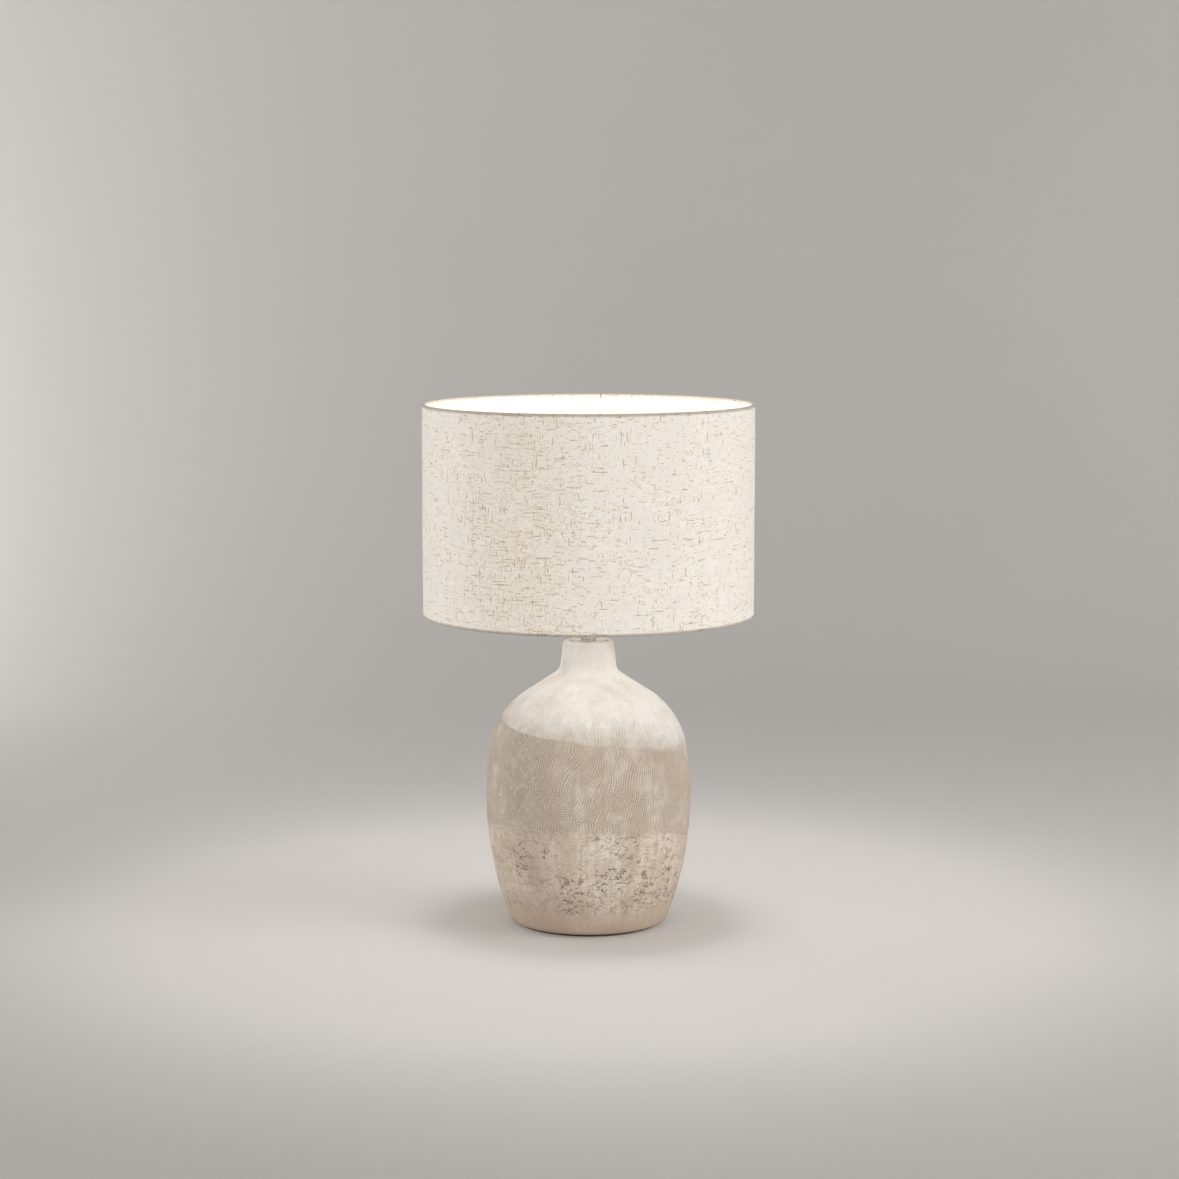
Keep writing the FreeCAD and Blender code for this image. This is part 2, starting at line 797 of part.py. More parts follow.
def shade_fabric():
    """The linen: a cylinder whose two edges roll inwards round the wire rings, notched for the arms."""
    top_out, top_over, top_in, top_end = (
        (f"{WIRE_RING} + {OUTER_WRAP}", TOP_WIRE, OUTER_WRAP, 1),
        (WIRE_RING, f"{TOP_WIRE} + ({OUTER_WRAP})", OUTER_WRAP, 1),
        (f"{WIRE_RING} - ({OUTER_WRAP})", TOP_WIRE, OUTER_WRAP, 1),
        (WIRE_RING, f"{TOP_WIRE} - ({OUTER_WRAP})"),
    )
    body = turned(
        "shade_fabric_rolled",
        [
            top_out,
            top_over,
            top_in,
            top_end,
            (WIRE_RING, f"{TOP_WIRE} - ({INNER_WRAP})", INNER_WRAP, -1),
            (f"{WIRE_RING} - ({INNER_WRAP})", TOP_WIRE, INNER_WRAP, -1),
            (WIRE_RING, f"{TOP_WIRE} + {INNER_WRAP}", INNER_WRAP, -1),
            (f"{WIRE_RING} + {INNER_WRAP}", TOP_WIRE),
            (f"{WIRE_RING} + {INNER_WRAP}", BOTTOM_WIRE, INNER_WRAP, -1),
            (WIRE_RING, f"{BOTTOM_WIRE} - ({INNER_WRAP})", INNER_WRAP, -1),
            (f"{WIRE_RING} - ({INNER_WRAP})", BOTTOM_WIRE, INNER_WRAP, -1),
            (WIRE_RING, f"{BOTTOM_WIRE} + {INNER_WRAP}"),
            (WIRE_RING, f"{BOTTOM_WIRE} + {OUTER_WRAP}", OUTER_WRAP, 1),
            (f"{WIRE_RING} - ({OUTER_WRAP})", BOTTOM_WIRE, OUTER_WRAP, 1),
            (WIRE_RING, f"{BOTTOM_WIRE} - ({OUTER_WRAP})", OUTER_WRAP, 1),
            (f"{WIRE_RING} + {OUTER_WRAP}", BOTTOM_WIRE),
        ],
    )
    notches = grouped("arm_notches", arm_wires("notch_wire", "wire_radius + small_gap"))
    return combined("Part::Cut", "shade_fabric", body, notches)


def band_inside_shade(label, outer, thickness, angle=360):
    """A thin upright band between the two wire rings."""
    low = f"{BOTTOM_WIRE} + {OUTER_WRAP} + play"
    high = f"{TOP_WIRE} - ({OUTER_WRAP}) - play"
    corners = [(f"{outer} - {thickness}", low), (outer, low), (outer, high), (f"{outer} - {thickness}", high)]
    return turned(label, corners, angle)


def shade_liner():
    """The stiff white laminate that the linen is glued to."""
    return band_inside_shade("shade_liner", "shade_radius - fabric - wrap_gap", "liner_thickness")


def seam_tape():
    """The strip behind the lap where the laminate's two ends meet, at the back of the shade."""
    outer = "shade_radius - fabric - wrap_gap - liner_thickness - wrap_gap"
    body = band_inside_shade("seam_tape", outer, "seam_thickness", DIMENSIONS["seam_angle"])
    to_the_back = 90 - DIMENSIONS["seam_angle"] / 2
    set_down(body, ("0", "0", "0"), FreeCAD.Rotation(FreeCAD.Vector(0, 0, 1), to_the_back))
    return body


def wire_ring(label, level):
    return sized("Part::Torus", label, {"Radius1": WIRE_RING, "Radius2": "wire_radius"}, ("0", "0", level))


def fitter_ring():
    """The flat ring that drops over the lampholder's skirt and rests on its flange."""
    return turned(
        "fitter_ring",
        [
            ("fitter_bore", FITTER_FOOT),
            ("fitter_radius", FITTER_FOOT),
            ("fitter_radius", f"{FITTER_FOOT} + fitter_height"),
            ("fitter_bore", f"{FITTER_FOOT} + fitter_height"),
        ],
    )


def arm_wires(name, radius):
    """One straight rod for each arm, from inside the fitter's edge down to the bottom wire's middle."""
    start, level = "(fitter_radius - arm_inset)", f"{FITTER_FOOT} + fitter_height / 2"
    run, drop = f"({WIRE_RING} - {start})", f"({level} - ({BOTTOM_WIRE}))"
    lean = FreeCAD.Rotation(FreeCAD.Vector(0, 1, 0), 90 + math.degrees(math.atan2(number(drop), number(run))))
    wires = []
    for arm in range(DIMENSIONS["spider_arms"]):
        angle = DIMENSIONS["first_arm"] + 360 * arm / DIMENSIONS["spider_arms"]
        wires.append(
            sized(
                "Part::Cylinder",
                name,
                {"Radius": radius, "Height": f"sqrt({run}^2 + {drop}^2)"},
                (f"{start} * cos({angle} deg)", f"{start} * sin({angle} deg)", level),
                FreeCAD.Rotation(FreeCAD.Vector(0, 0, 1), angle).multiply(lean),
            )
        )
    return wires


def spider_arms(fitter, ring):
    """The arms, cut to the shape of the fitter and the bottom ring that they are welded to."""
    joined = combined("Part::Fuse", "arm_ends", fitter, ring)
    arms = [combined("Part::Cut", "arm", wire, joined) for wire in arm_wires("arm_wire", "wire_radius")]
    return grouped("spider_arms", arms)


# The bulb --------------------------------------------------------------------------------------


def bulb_tip_contact():
    return turned(
        "bulb_tip_contact",
        [
            ("0", "bulb_foot"),
            ("tip_radius - tip_chamfer", "bulb_foot"),
            ("tip_radius", "bulb_foot + tip_chamfer"),
            ("tip_radius", "bulb_foot + tip_height"),
            ("0", "bulb_foot + tip_height"),
        ],
    )


def bulb_insulator():
    foot = "bulb_foot + tip_height + thread_gap"
    return turned(
        "bulb_insulator",
        [
            ("0", foot),
            ("insulator_foot_radius", foot),
            ("screw_cap_bore - small_gap", "screw_cap_foot"),
            ("screw_cap_bore - small_gap", "insulator_top"),
            ("0", "insulator_top"),
        ],
    )


def bulb_screw_cap():
    """The nickelled E27 cap with its rounded thread."""
    body = turned(
        "bulb_screw_cap",
        [
            ("screw_cap_bore", "screw_cap_foot"),
            ("screw_cap_radius - screw_cap_chamfer", "screw_cap_foot"),
            ("screw_cap_radius", "screw_cap_foot + screw_cap_chamfer"),
            ("screw_cap_radius", "screw_cap_top - flare_height - screw_cap_chamfer"),
            ("screw_cap_flare", "screw_cap_top - flare_height"),
            ("screw_cap_flare", "screw_cap_top"),
            ("screw_cap_bore", "screw_cap_top"),
        ],
    )
    start = "screw_cap_foot + edison_lead_in"
    helical_ridge(
        body,
        [
            ("screw_cap_radius - small_gap", f"{start} - cap_ridge_foot"),
            ("screw_cap_radius + ridge_depth / 2", f"{start} - cap_ridge_middle"),
            ("screw_cap_radius + ridge_depth", f"{start} - cap_ridge_crest"),
            ("screw_cap_radius + ridge_depth", f"{start} + cap_ridge_crest"),
            ("screw_cap_radius + ridge_depth / 2", f"{start} + cap_ridge_middle"),
            ("screw_cap_radius - small_gap", f"{start} + cap_ridge_foot"),
        ],
        "edison_pitch",
        "cap_ridge_height",
    )
    return body


def bulb_collar():
    """The housing between cap and globe, with a spigot down into the cap."""
    return turned(
        "bulb_collar",
        [
            ("screw_cap_bore - small_gap - collar_wall", "screw_cap_top - spigot_length"),
            ("screw_cap_bore - small_gap", "screw_cap_top - spigot_length"),
            ("screw_cap_bore - small_gap", "screw_cap_top"),
            ("collar_foot_radius", "screw_cap_top"),
            ("collar_top_radius", "collar_top"),
            ("collar_top_radius - collar_wall", "collar_top"),
            ("collar_foot_radius - collar_wall", "screw_cap_top + collar_wall"),
            ("screw_cap_bore - small_gap - collar_wall", "screw_cap_top + collar_wall"),
        ],
    )


def bulb_globe():
    """The opal diffuser, most of a hollow sphere standing on the collar."""
    centre = "collar_top + globe_sink"
    inner = "(globe_radius - globe_wall)"
    return turned(
        "bulb_globe",
        [
            ("sqrt(globe_radius^2 - globe_sink^2)", "collar_top", "globe_radius", 1),
            ("globe_radius", centre, "globe_radius", 1),
            ("0", f"{centre} + globe_radius"),
            ("0", f"{centre} + {inner}", inner, -1),
            (inner, centre, inner, -1),
            (f"sqrt({inner}^2 - globe_sink^2)", "collar_top"),
        ],
    )


def bulb_led_board():
    return sized(
        "Part::Cylinder",
        "bulb_led_board",
        {"Radius": "led_board_radius", "Height": "board_thickness"},
        ("0", "0", "collar_top - board_thickness * 1.5"),
    )


def bulb_led_chips():
    """The light sources, in a ring on the board."""
    chips = []
    for place in range(DIMENSIONS["led_count"]):
        turn = f"({360 / DIMENSIONS['led_count'] * place} deg)"
        chips.append(
            sized(
                "Part::Box",
                "chip",
                {"Length": "led_side", "Width": "led_side", "Height": "led_height"},
                (
                    f"led_circle * cos{turn} - led_side / 2",
                    f"led_circle * sin{turn} - led_side / 2",
                    "collar_top - board_thickness * 0.5",
                ),
            )
        )
    return grouped("bulb_led_chips", chips)


def bulb_driver_board():
    return sized(
        "Part::Box",
        "bulb_driver_board",
        {"Length": "board_thickness", "Width": "driver_width", "Height": "driver_height"},
        ("-board_thickness / 2", "-driver_width / 2", "screw_cap_top + collar_wall * 2"),
    )


# The lamp --------------------------------------------------------------------------------------


def build():
    """Every sub-part of the lamp, each under the name of its node."""
    inner_nut_level = "neck_level - vessel_wall - washer_height - nut_height"
    fitter, bottom_ring = fitter_ring(), wire_ring("bottom_ring", BOTTOM_WIRE)
    parts = [
        felt_pad(),
        base_cover(),
        ceramic_body(),
        cord_bush(),
        threaded_nipple(),
        inner_washer(),
        hex_nut("inner_nut", inner_nut_level),
        neck_cap(),
        hex_nut("neck_nut", "neck_level - mouth_depth + cap_height"),
        holder_cap(),
        holder_grub_screw(),
        holder_shell(),
        holder_insert(),
        screw_shell(),
        centre_contact(),
        terminal_blocks(),
        terminal_screws(),
        clamp_ring(),
        shade_fabric(),
        shade_liner(),
        seam_tape(),
        wire_ring("top_ring", TOP_WIRE),
        bottom_ring,
        fitter,
        spider_arms(fitter, bottom_ring),
        bulb_tip_contact(),
        bulb_insulator(),
        bulb_screw_cap(),
        bulb_collar(),
        bulb_globe(),
        bulb_led_board(),
        bulb_led_chips(),
        bulb_driver_board(),
    ]
    doc.recompute()
    return parts


def check(parts):
    """Stops the build if any object failed or any sub-part isn't a sound solid."""
    failed = [item.Label for item in doc.Objects if {"Invalid", "Error"} & set(item.State)]
    unsound = [p.Label for p in parts if p.Shape.isNull() or not p.Shape.isValid() or not p.Shape.Solids]
    if failed or unsound:
        raise RuntimeError(f"failed objects {failed}, unsound sub-parts {unsound}")


def export(parts):
    """Writes each sub-part to parts/NODE.step."""
    os.makedirs("parts", exist_ok=True)
    for part in parts:
        part.Shape.exportStep(f"parts/{part.Label}.step")
        print(f"{part.Label}: {len(part.Shape.Solids)} solid(s), {part.Shape.Volume / 1000:.2f} cm3")


fill_sheet()
sub_parts = build()
check(sub_parts)
export(sub_parts)
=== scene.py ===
"""The looks of the table lamp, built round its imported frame. Metres, +Z up, the lamp's back at +Y."""

import json
import math

import bmesh
import bpy
import numpy as np
from mathutils import Euler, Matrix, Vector
from mathutils.bvhtree import BVHTree


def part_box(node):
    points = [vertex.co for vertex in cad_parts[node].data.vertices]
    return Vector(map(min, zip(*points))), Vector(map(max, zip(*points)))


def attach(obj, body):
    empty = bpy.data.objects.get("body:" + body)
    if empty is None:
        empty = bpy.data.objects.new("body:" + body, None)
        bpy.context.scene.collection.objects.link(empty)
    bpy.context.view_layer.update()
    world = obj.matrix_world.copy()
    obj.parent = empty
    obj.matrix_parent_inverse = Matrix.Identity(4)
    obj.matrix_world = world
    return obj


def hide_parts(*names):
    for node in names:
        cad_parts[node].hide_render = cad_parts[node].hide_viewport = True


MM = 0.001
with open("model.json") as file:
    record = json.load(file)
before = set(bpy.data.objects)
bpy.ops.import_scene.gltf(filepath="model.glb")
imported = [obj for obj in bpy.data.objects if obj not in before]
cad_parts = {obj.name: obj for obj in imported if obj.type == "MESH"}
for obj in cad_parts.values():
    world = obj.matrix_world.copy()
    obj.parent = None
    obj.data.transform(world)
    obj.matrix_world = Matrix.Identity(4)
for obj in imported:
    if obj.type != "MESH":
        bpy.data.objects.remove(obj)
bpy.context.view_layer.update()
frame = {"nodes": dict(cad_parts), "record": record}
NODES = frame["nodes"]


# Helpers for meshes -----------------------------------------------------------------------------


class Perlin:
    """Seeded gradient noise on numpy arrays of points, about -1 to 1."""

    def __init__(self, seed):
        random = np.random.default_rng(seed)
        self.table = random.permutation(256)
        directions = random.normal(size=(256, 3))
        self.slopes = directions / np.linalg.norm(directions, axis=1)[:, None]

    def __call__(self, points, size):
        """The noise at points, with features about size across."""
        scaled = points / size
        cell = np.floor(scaled).astype(int)
        inside = scaled - cell
        ease = inside**3 * (inside * (inside * 6 - 15) + 10)
        total = np.zeros(len(points))
        for corner in np.ndindex(2, 2, 2):
            at = (cell + corner) & 255
            index = self.table[(self.table[(self.table[at[:, 0]] + at[:, 1]) & 255] + at[:, 2]) & 255]
            weight = np.prod(np.where(corner, ease, 1 - ease), axis=1)
            total += weight * np.einsum("ij,ij->i", self.slopes[index], inside - corner)
        return total * 1.6

    def layers(self, points, size, count=3):
        """Several sizes of noise added, each half the size and strength of the last."""
        return sum(self(points + 7.3 * n, size / 2**n) / 2**n for n in range(count))


def smooth_step(low, high, value):
    share = np.clip((value - low) / (high - low), 0, 1)
    return share * share * (3 - 2 * share)


def new_object(name, mesh):
    made = bpy.data.objects.new(name, mesh)
    bpy.context.scene.collection.objects.link(made)
    return made


def lathe(name, outline, columns):
    """A closed skin of revolution: outline is an array of (radius, height) rows, wound once round."""
    turn = np.arange(columns) / columns * 2 * math.pi - math.pi / 2
    radius, height = outline[:, 0][:, None], outline[:, 1][:, None]
    rows = len(outline)
    levels = np.broadcast_to(height, (rows, columns))
    points = np.stack([radius * np.cos(turn), radius * np.sin(turn), levels], axis=-1)
    row, column = np.meshgrid(np.arange(rows), np.arange(columns), indexing="ij")
    up, along = (row + 1) % rows, (column + 1) % columns
    corners = [(row, column), (row, along), (up, along), (up, column)]
    quads = np.stack([level * columns + place for level, place in corners], axis=-1)
    return mesh_from(name, points.reshape(-1, 3), quads.reshape(-1, 4))


def mesh_from(name, points, quads):
    """A smooth-shaded mesh of quads, made from arrays."""
    mesh = bpy.data.meshes.new(name)
    mesh.vertices.add(len(points))
    mesh.vertices.foreach_set("co", np.asarray(points, np.float32).ravel())
    mesh.loops.add(quads.size)
    mesh.loops.foreach_set("vertex_index", np.asarray(quads, np.int32).ravel())
    mesh.polygons.add(len(quads))
    mesh.polygons.foreach_set("loop_start", np.arange(len(quads), dtype=np.int32) * quads.shape[1])
    mesh.polygons.foreach_set("use_smooth", np.ones(len(quads), bool))
    mesh.update(calc_edges=True)
    mesh.validate()
    return mesh


def coordinates(mesh):
    points = np.empty(len(mesh.vertices) * 3, np.float32)
    mesh.vertices.foreach_get("co", points)
    return points.reshape(-1, 3).astype(float)


def normals(mesh):
    found = np.empty(len(mesh.vertices) * 3, np.float32)
    mesh.vertex_normals.foreach_get("vector", found)
    return found.reshape(-1, 3).astype(float)


def store(mesh, name, values):
    """Keeps one number for each vertex, for a material to read."""
    attribute = mesh.attributes.new(name, "FLOAT", "POINT")
    attribute.data.foreach_set("value", np.asarray(values, np.float32))


def evenly(outline, step):
    """The same outline with points a step apart along its length."""
    gaps = np.hypot(*np.diff(outline, axis=0).T)
    along = np.concatenate([[0], np.cumsum(gaps)])
    places = np.linspace(0, along[-1], max(2, round(along[-1] / step) + 1))
    return np.stack([np.interp(places, along, outline[:, k]) for k in (0, 1)], axis=1)


def tree_of(node):
    """A search tree of a CAD node's surface."""
    mesh = NODES[node].data
    return BVHTree.FromPolygons([v.co for v in mesh.vertices], [p.vertices for p in mesh.polygons])


# Helpers for materials --------------------------------------------------------------------------


class Nodes:
    """Short names for building a material's node tree."""

    def __init__(self, name):
        self.material = bpy.data.materials.new(name)
        self.material.use_nodes = True
        self.tree = self.material.node_tree
        self.shader = next(n for n in self.tree.nodes if n.type == "BSDF_PRINCIPLED")

    def add(self, kind, inputs=(), **settings):
        node = self.tree.nodes.new(kind)
        for key, value in settings.items():
            setattr(node, key, value)
        for key, value in dict(inputs).items():
            self.feed(node, key, value)
        return node

    def feed(self, node, key, value):
        """Links an output to an input, or sets the input to a plain value."""
        if isinstance(value, bpy.types.NodeSocket):
            self.tree.links.new(value, node.inputs[key])
        elif value is not None:
            node.inputs[key].default_value = value

    def set(self, **inputs):
        """Feeds the Principled shader. Underscores in a name stand for spaces."""
        for key, value in inputs.items():
            self.feed(self.shader, key.replace("_", " "), value)

    def math(self, operation, *values):
        return self.add("ShaderNodeMath", enumerate(values), operation=operation).outputs[0]

    def mix(self, share, first, second, blend="MIX"):
        node = self.add("ShaderNodeMix", data_type="RGBA", blend_type=blend)
        for key, value in (("Factor_Float", share), ("A_Color", first), ("B_Color", second)):
            socket = next(s for s in node.inputs if s.identifier == key)
            if isinstance(value, bpy.types.NodeSocket):
                self.tree.links.new(value, socket)
            elif key == "Factor_Float":
                socket.default_value = value
            else:
                socket.default_value = (*value[:3], 1)
        return next(s for s in node.outputs if s.identifier == "Result_Color")

    def step(self, value, low, high, bottom=0.0, top=1.0):
        """Smoothly from bottom at low to top at high."""
        inputs = {"Value": value, "From Min": low, "From Max": high, "To Min": bottom, "To Max": top}
        return self.add("ShaderNodeMapRange", inputs, interpolation_type="SMOOTHSTEP").outputs[0]

    def place(self):
        """The point on the object, in metres."""
        return self.add("ShaderNodeTexCoord").outputs["Object"]

    def vector(self, operation, inputs):
        return self.add("ShaderNodeVectorMath", inputs, operation=operation).outputs[0]

    def scaled(self, where, scale):
        """The place scaled along each axis."""
        return self.add("ShaderNodeMapping", {"Vector": where, "Scale": scale}).outputs[0]

    def turned(self, where, angle):
        """The place turned about Z, in radians."""
        inputs = {"Vector": where, "Angle": angle}
        return self.add("ShaderNodeVectorRotate", inputs, rotation_type="Z_AXIS").outputs[0]

    def noise(self, size, where=None, detail=3.0, roughness=0.55, output="Fac", dimensions="3D"):
        """Noise with features about size metres across."""
        where = where or self.place()
        inputs = {"Vector": where, "Scale": 1 / size, "Detail": detail, "Roughness": roughness}
        return self.add("ShaderNodeTexNoise", inputs, noise_dimensions=dimensions).outputs[output]

    def attribute(self, name):
        return self.add("ShaderNodeAttribute", attribute_name=name).outputs["Fac"]

    def bump(self, height, depth, normal=None, strength=1.0):
        """A normal from a height of 0 to 1 that stands for depth metres."""
        inputs = {"Height": height, "Distance": depth, "Strength": strength, "Normal": normal}
        return self.add("ShaderNodeBump", inputs).outputs[0]


def colour(red, green, blue):
    """An sRGB colour of 0 to 255 parts as linear light."""
    parts = [part / 255 for part in (red, green, blue)]
    return tuple(p / 12.92 if p <= 0.04045 else ((p + 0.055) / 1.055) ** 2.4 for p in parts)


def paint(names, material):
    """Gives CAD nodes, by name, a material."""
    for name in names:
        NODES[name].data.materials.clear()
        NODES[name].data.materials.append(material)


# The vessel -------------------------------------------------------------------------------------

VESSEL_STEP = 1.6 * MM
VESSEL_COLUMNS = 408
# The radius at which lengths round the vessel are measured.
BELLY = 104 * MM
# Between the vessel's plaster and a piece let into it.
GAP = 0.2 * MM
WALL = 7 * MM
# The hole for the bush, a little larger than the bush.
INLET_RADIUS = 6.1 * MM
# The gauze print's ribs and the beads along them, from one to the next.
RIB_PITCH, BEAD_PITCH = 2.6 * MM, 2.1 * MM
# How the crossed print at the left is turned, in radians.
CROSSED_ANGLE = 0.78
# The heights, in the middle, of the edges of the white cap and of the band of gauze print.
WHITE_EDGE = 207 * MM
GAUZE_EDGE = 105 * MM
# Clusters of cracks in the plaster: turn from the front, height, half width and half height.
CRACKED = (
    (-0.17, 49 * MM, 17 * MM, 24 * MM),
    (-0.70, 97 * MM, 6 * MM, 5 * MM),
    (-0.47, 92 * MM, 9 * MM, 5 * MM),
    (-0.75, 76 * MM, 10 * MM, 14 * MM),
    (0.25, 66 * MM, 20 * MM, 14 * MM),
    (0.62, 55 * MM, 14 * MM, 18 * MM),
    (0.94, 72 * MM, 10 * MM, 20 * MM),
    (2.2, 55 * MM, 24 * MM, 20 * MM),
    (-2.3, 70 * MM, 20 * MM, 18 * MM),
)


def vessel_outline():
    """The CAD vessel's outer profile from the foot's opening up to the mouth, then down the inside."""
    tree = tree_of("ceramic_body")
    low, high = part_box("ceramic_body")
    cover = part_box("base_cover")[1].x + GAP
    cap_low, cap_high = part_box("neck_cap")
    mouth, seat = cap_high.x + GAP, cap_low.z
    levels = np.concatenate(
        [
            low.z + np.geomspace(0.02 * MM, 8 * MM, 24),
            np.arange(low.z + 9 * MM, high.z - 5 * MM, 1 * MM),
            high.z - np.geomspace(4 * MM, 0.02 * MM, 16),
        ]
    )
    side = []
    for level in levels:
        hit = tree.ray_cast(Vector((0.3, -0.001, level)), Vector((-1, 0, 0)))[0]
        side.append((math.hypot(hit.x, hit.y), level))
    side = np.array(side)
    body = (side[:, 1] > low.z + 12 * MM) & (side[:, 1] < high.z - 8 * MM)
    kernel = np.hanning(9) / np.hanning(9).sum()
    softened = np.convolve(np.pad(side[:, 0], 4, mode="edge"), kernel, mode="valid")
    side[body, 0] = softened[body]
    outer = np.vstack([[(cover, low.z), (side[0, 0] - 1 * MM, low.z)], side, [(mouth, high.z)]])
    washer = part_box("inner_washer")[1]
    inner = [(mouth, seat), (5.5 * MM, seat), (5.5 * MM, washer.z)]
    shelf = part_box("base_cover")[1].z
    floor = shelf + 6 * MM
    waist = [(r - WALL, z) for r, z in side[::12] if floor < z < washer.z - 2 * MM]
    inner += [(waist[-1][0], washer.z)] + waist[::-1] + [(waist[0][0], floor)]
    inner += [(58 * MM, floor), (58 * MM, shelf), (cover, shelf)]
    return evenly(outer, VESSEL_STEP), np.array(inner)


def bore_inlet(piece):
    """Cuts the lead's hole through the vessel's wall, along the inlet's axis."""
    inlet = next(mount for mount in frame["record"]["mounts"] if mount["name"] == "cord_inlet")
    cutter = bmesh.new()
    ends = {"radius1": INLET_RADIUS, "radius2": INLET_RADIUS}
    bmesh.ops.create_cone(cutter, cap_ends=True, segments=48, depth=40 * MM, **ends)
    drill = new_object("drill", bpy.data.meshes.new("drill"))
    cutter.to_mesh(drill.data)
    cutter.free()
    drill.rotation_euler = Vector(inlet["axis"]).to_track_quat("Z", "Y").to_euler()
    drill.location = Vector(inlet["pos_m"])
    cut = piece.modifiers.new("inlet", "BOOLEAN")
    cut.operation, cut.object, cut.solver = "DIFFERENCE", drill, "EXACT"
    bpy.context.view_layer.update()
    done = bpy.data.meshes.new_from_object(piece.evaluated_get(bpy.context.evaluated_depsgraph_get()))
    piece.modifiers.clear()
    piece.data = done
    bpy.data.objects.remove(drill)


def near_spots(turn, level, spots):
    """1 at the middle of a spot, 0 away from all."""
    nearest = np.full(len(turn), 9.0)
    for middle, height, half_width, half_height in spots:
        apart = np.angle(np.exp(1j * (turn - middle))) * BELLY
        nearest = np.minimum(nearest, np.hypot(apart / half_width, (level - height) / half_height))
    return smooth_step(1.35, 0.5, nearest)


def vessel():
    """The plastered vessel: a white cap over a band of gauze print over rough, cracked plaster."""
    outer, inner = vessel_outline()
    mesh = lathe("vessel", np.vstack([outer, inner]), VESSEL_COLUMNS)
    made = new_object("vessel", mesh)
    points, outward = coordinates(mesh), normals(mesh)
    skin = np.zeros(len(points), bool)
    skin[: len(outer) * VESSEL_COLUMNS] = True
    low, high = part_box("ceramic_body")
    turn = np.arctan2(points[:, 0], -points[:, 1])
    level = points[:, 2]
    slow, fine, ragged, dents = (Perlin(seed) for seed in (3, 5, 8, 13))
    # How far each point is above the lower edge of the white cap, and of the gauze band.
    white = level - WHITE_EDGE + 17 * MM * np.sin(turn) - 4 * MM * np.sin(2 * turn + 0.3)
    torn = smooth_step(-0.6, 0.0, turn) * smooth_step(3.0, 2.2, turn)
    white += ragged.layers(points, 15 * MM) * (0.5 + 1.7 * torn) * MM
    gauze = level - GAUZE_EDGE - 12.5 * MM * np.cos(turn + 0.35)
    gauze += slow(points + 1, 40 * MM) * 2 * MM + ragged.layers(points + 2, 12 * MM) * 1.6 * MM
    fade = smooth_step(0.35, 1.2, turn) * smooth_step(3.0, 2.2, turn)
    cap = smooth_step(-0.4 * MM, 0.9 * MM, white)
    gauze_band = (1 - cap) * smooth_step(-0.8 * MM, 0.8 * MM, gauze)
    rough = (1 - cap) * (1 - smooth_step(-2 * MM, 2 * MM, gauze))
    cracked = near_spots(turn, level, CRACKED)
    cracked = np.clip(cracked + 0.35 * smooth_step(0.0, 0.4, slow(points + 5, 30 * MM)), 0, 1) * rough
    cracked *= smooth_step(14 * MM, 26 * MM, level)
    lumps = fine.layers(points + 4, 7 * MM)
    hollows = smooth_step(0.05, 0.45, dents.layers(points * [1, 1, 1.5], 8 * MM, 2))
    lift = 0.3 * MM * slow(points + 9, 50 * MM) + 0.16 * MM * fine.layers(points, 16 * MM)
    lift += cap * (0.75 - 0.45 * fade) * MM + 0.35 * MM * gauze_band
    lift += torn * (1 - fade) * 0.35 * MM * cap * (1 - smooth_step(1 * MM, 4 * MM, white))
    lift += cracked * (0.3 * MM * lumps - 0.35 * MM * hollows)
    lift += (rough + 0.5 * cap) * 0.1 * MM * lumps
    # The relief fades out towards the foot and the lip.
    calm = smooth_step(low.z, low.z + 14 * MM, level)
    calm *= smooth_step(high.z + 1 * MM, high.z - 5 * MM, level)
    lift = np.where(skin, lift * (0.15 + 0.85 * calm), 0)
    points = points + outward * lift[:, None]
    points[:, 2] = np.clip(points[:, 2], low.z, high.z)
    mesh.vertices.foreach_set("co", points.astype(np.float32).ravel())
    store(mesh, "white_edge", np.where(skin, white / MM, -50))
    store(mesh, "gauze_edge", np.where(skin, gauze / MM, -50))
    store(mesh, "cracked", cracked)
    store(mesh, "fade", fade)
    store(mesh, "skin", skin)
    mesh.update()
    mesh.materials.append(plaster())
    bore_inlet(made)
    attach(made, "base")
    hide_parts("ceramic_body")
    return made


def flattened(n):
    """The vessel's skin laid out flat: the way round it as X and the height as Y, in metres."""
    split = n.add("ShaderNodeSeparateXYZ", {0: n.place()})
    turn = n.math("ARCTAN2", split.outputs[0], n.math("MULTIPLY", split.outputs[1], -1.0))
    level = split.outputs[2]
    flat = n.add("ShaderNodeCombineXYZ", {0: n.math("MULTIPLY", turn, BELLY), 1: level}).outputs[0]
    return turn, level, flat


def strayed(n, where, size, reach):
    """The place moved about by noise, so that patterns on it wander."""
    stray = n.noise(size, where, detail=2, output="Color")
    stray = n.vector("SUBTRACT", {0: stray, 1: (0.5, 0.5, 0.5)})
    stray = n.vector("SCALE", {0: stray, 3: reach})
    return n.vector("ADD", {0: where, 1: stray})


def beaded_ribs(n, where, uneven, crossed):
    """Ribs along the place's Y, beaded by weaker ones along its X: a height of 0 to 1."""
    thread = n.add("ShaderNodeSeparateXYZ", {0: where})
    warp = n.math("SINE", n.math("MULTIPLY_ADD", thread.outputs[0], 2 * math.pi / RIB_PITCH, uneven))
    weft = n.math("SINE", n.math("MULTIPLY_ADD", thread.outputs[1], 2 * math.pi / BEAD_PITCH, uneven))
    return n.step(n.math("ADD", warp, n.math("MULTIPLY", weft, crossed)), -1.3, 1.5)


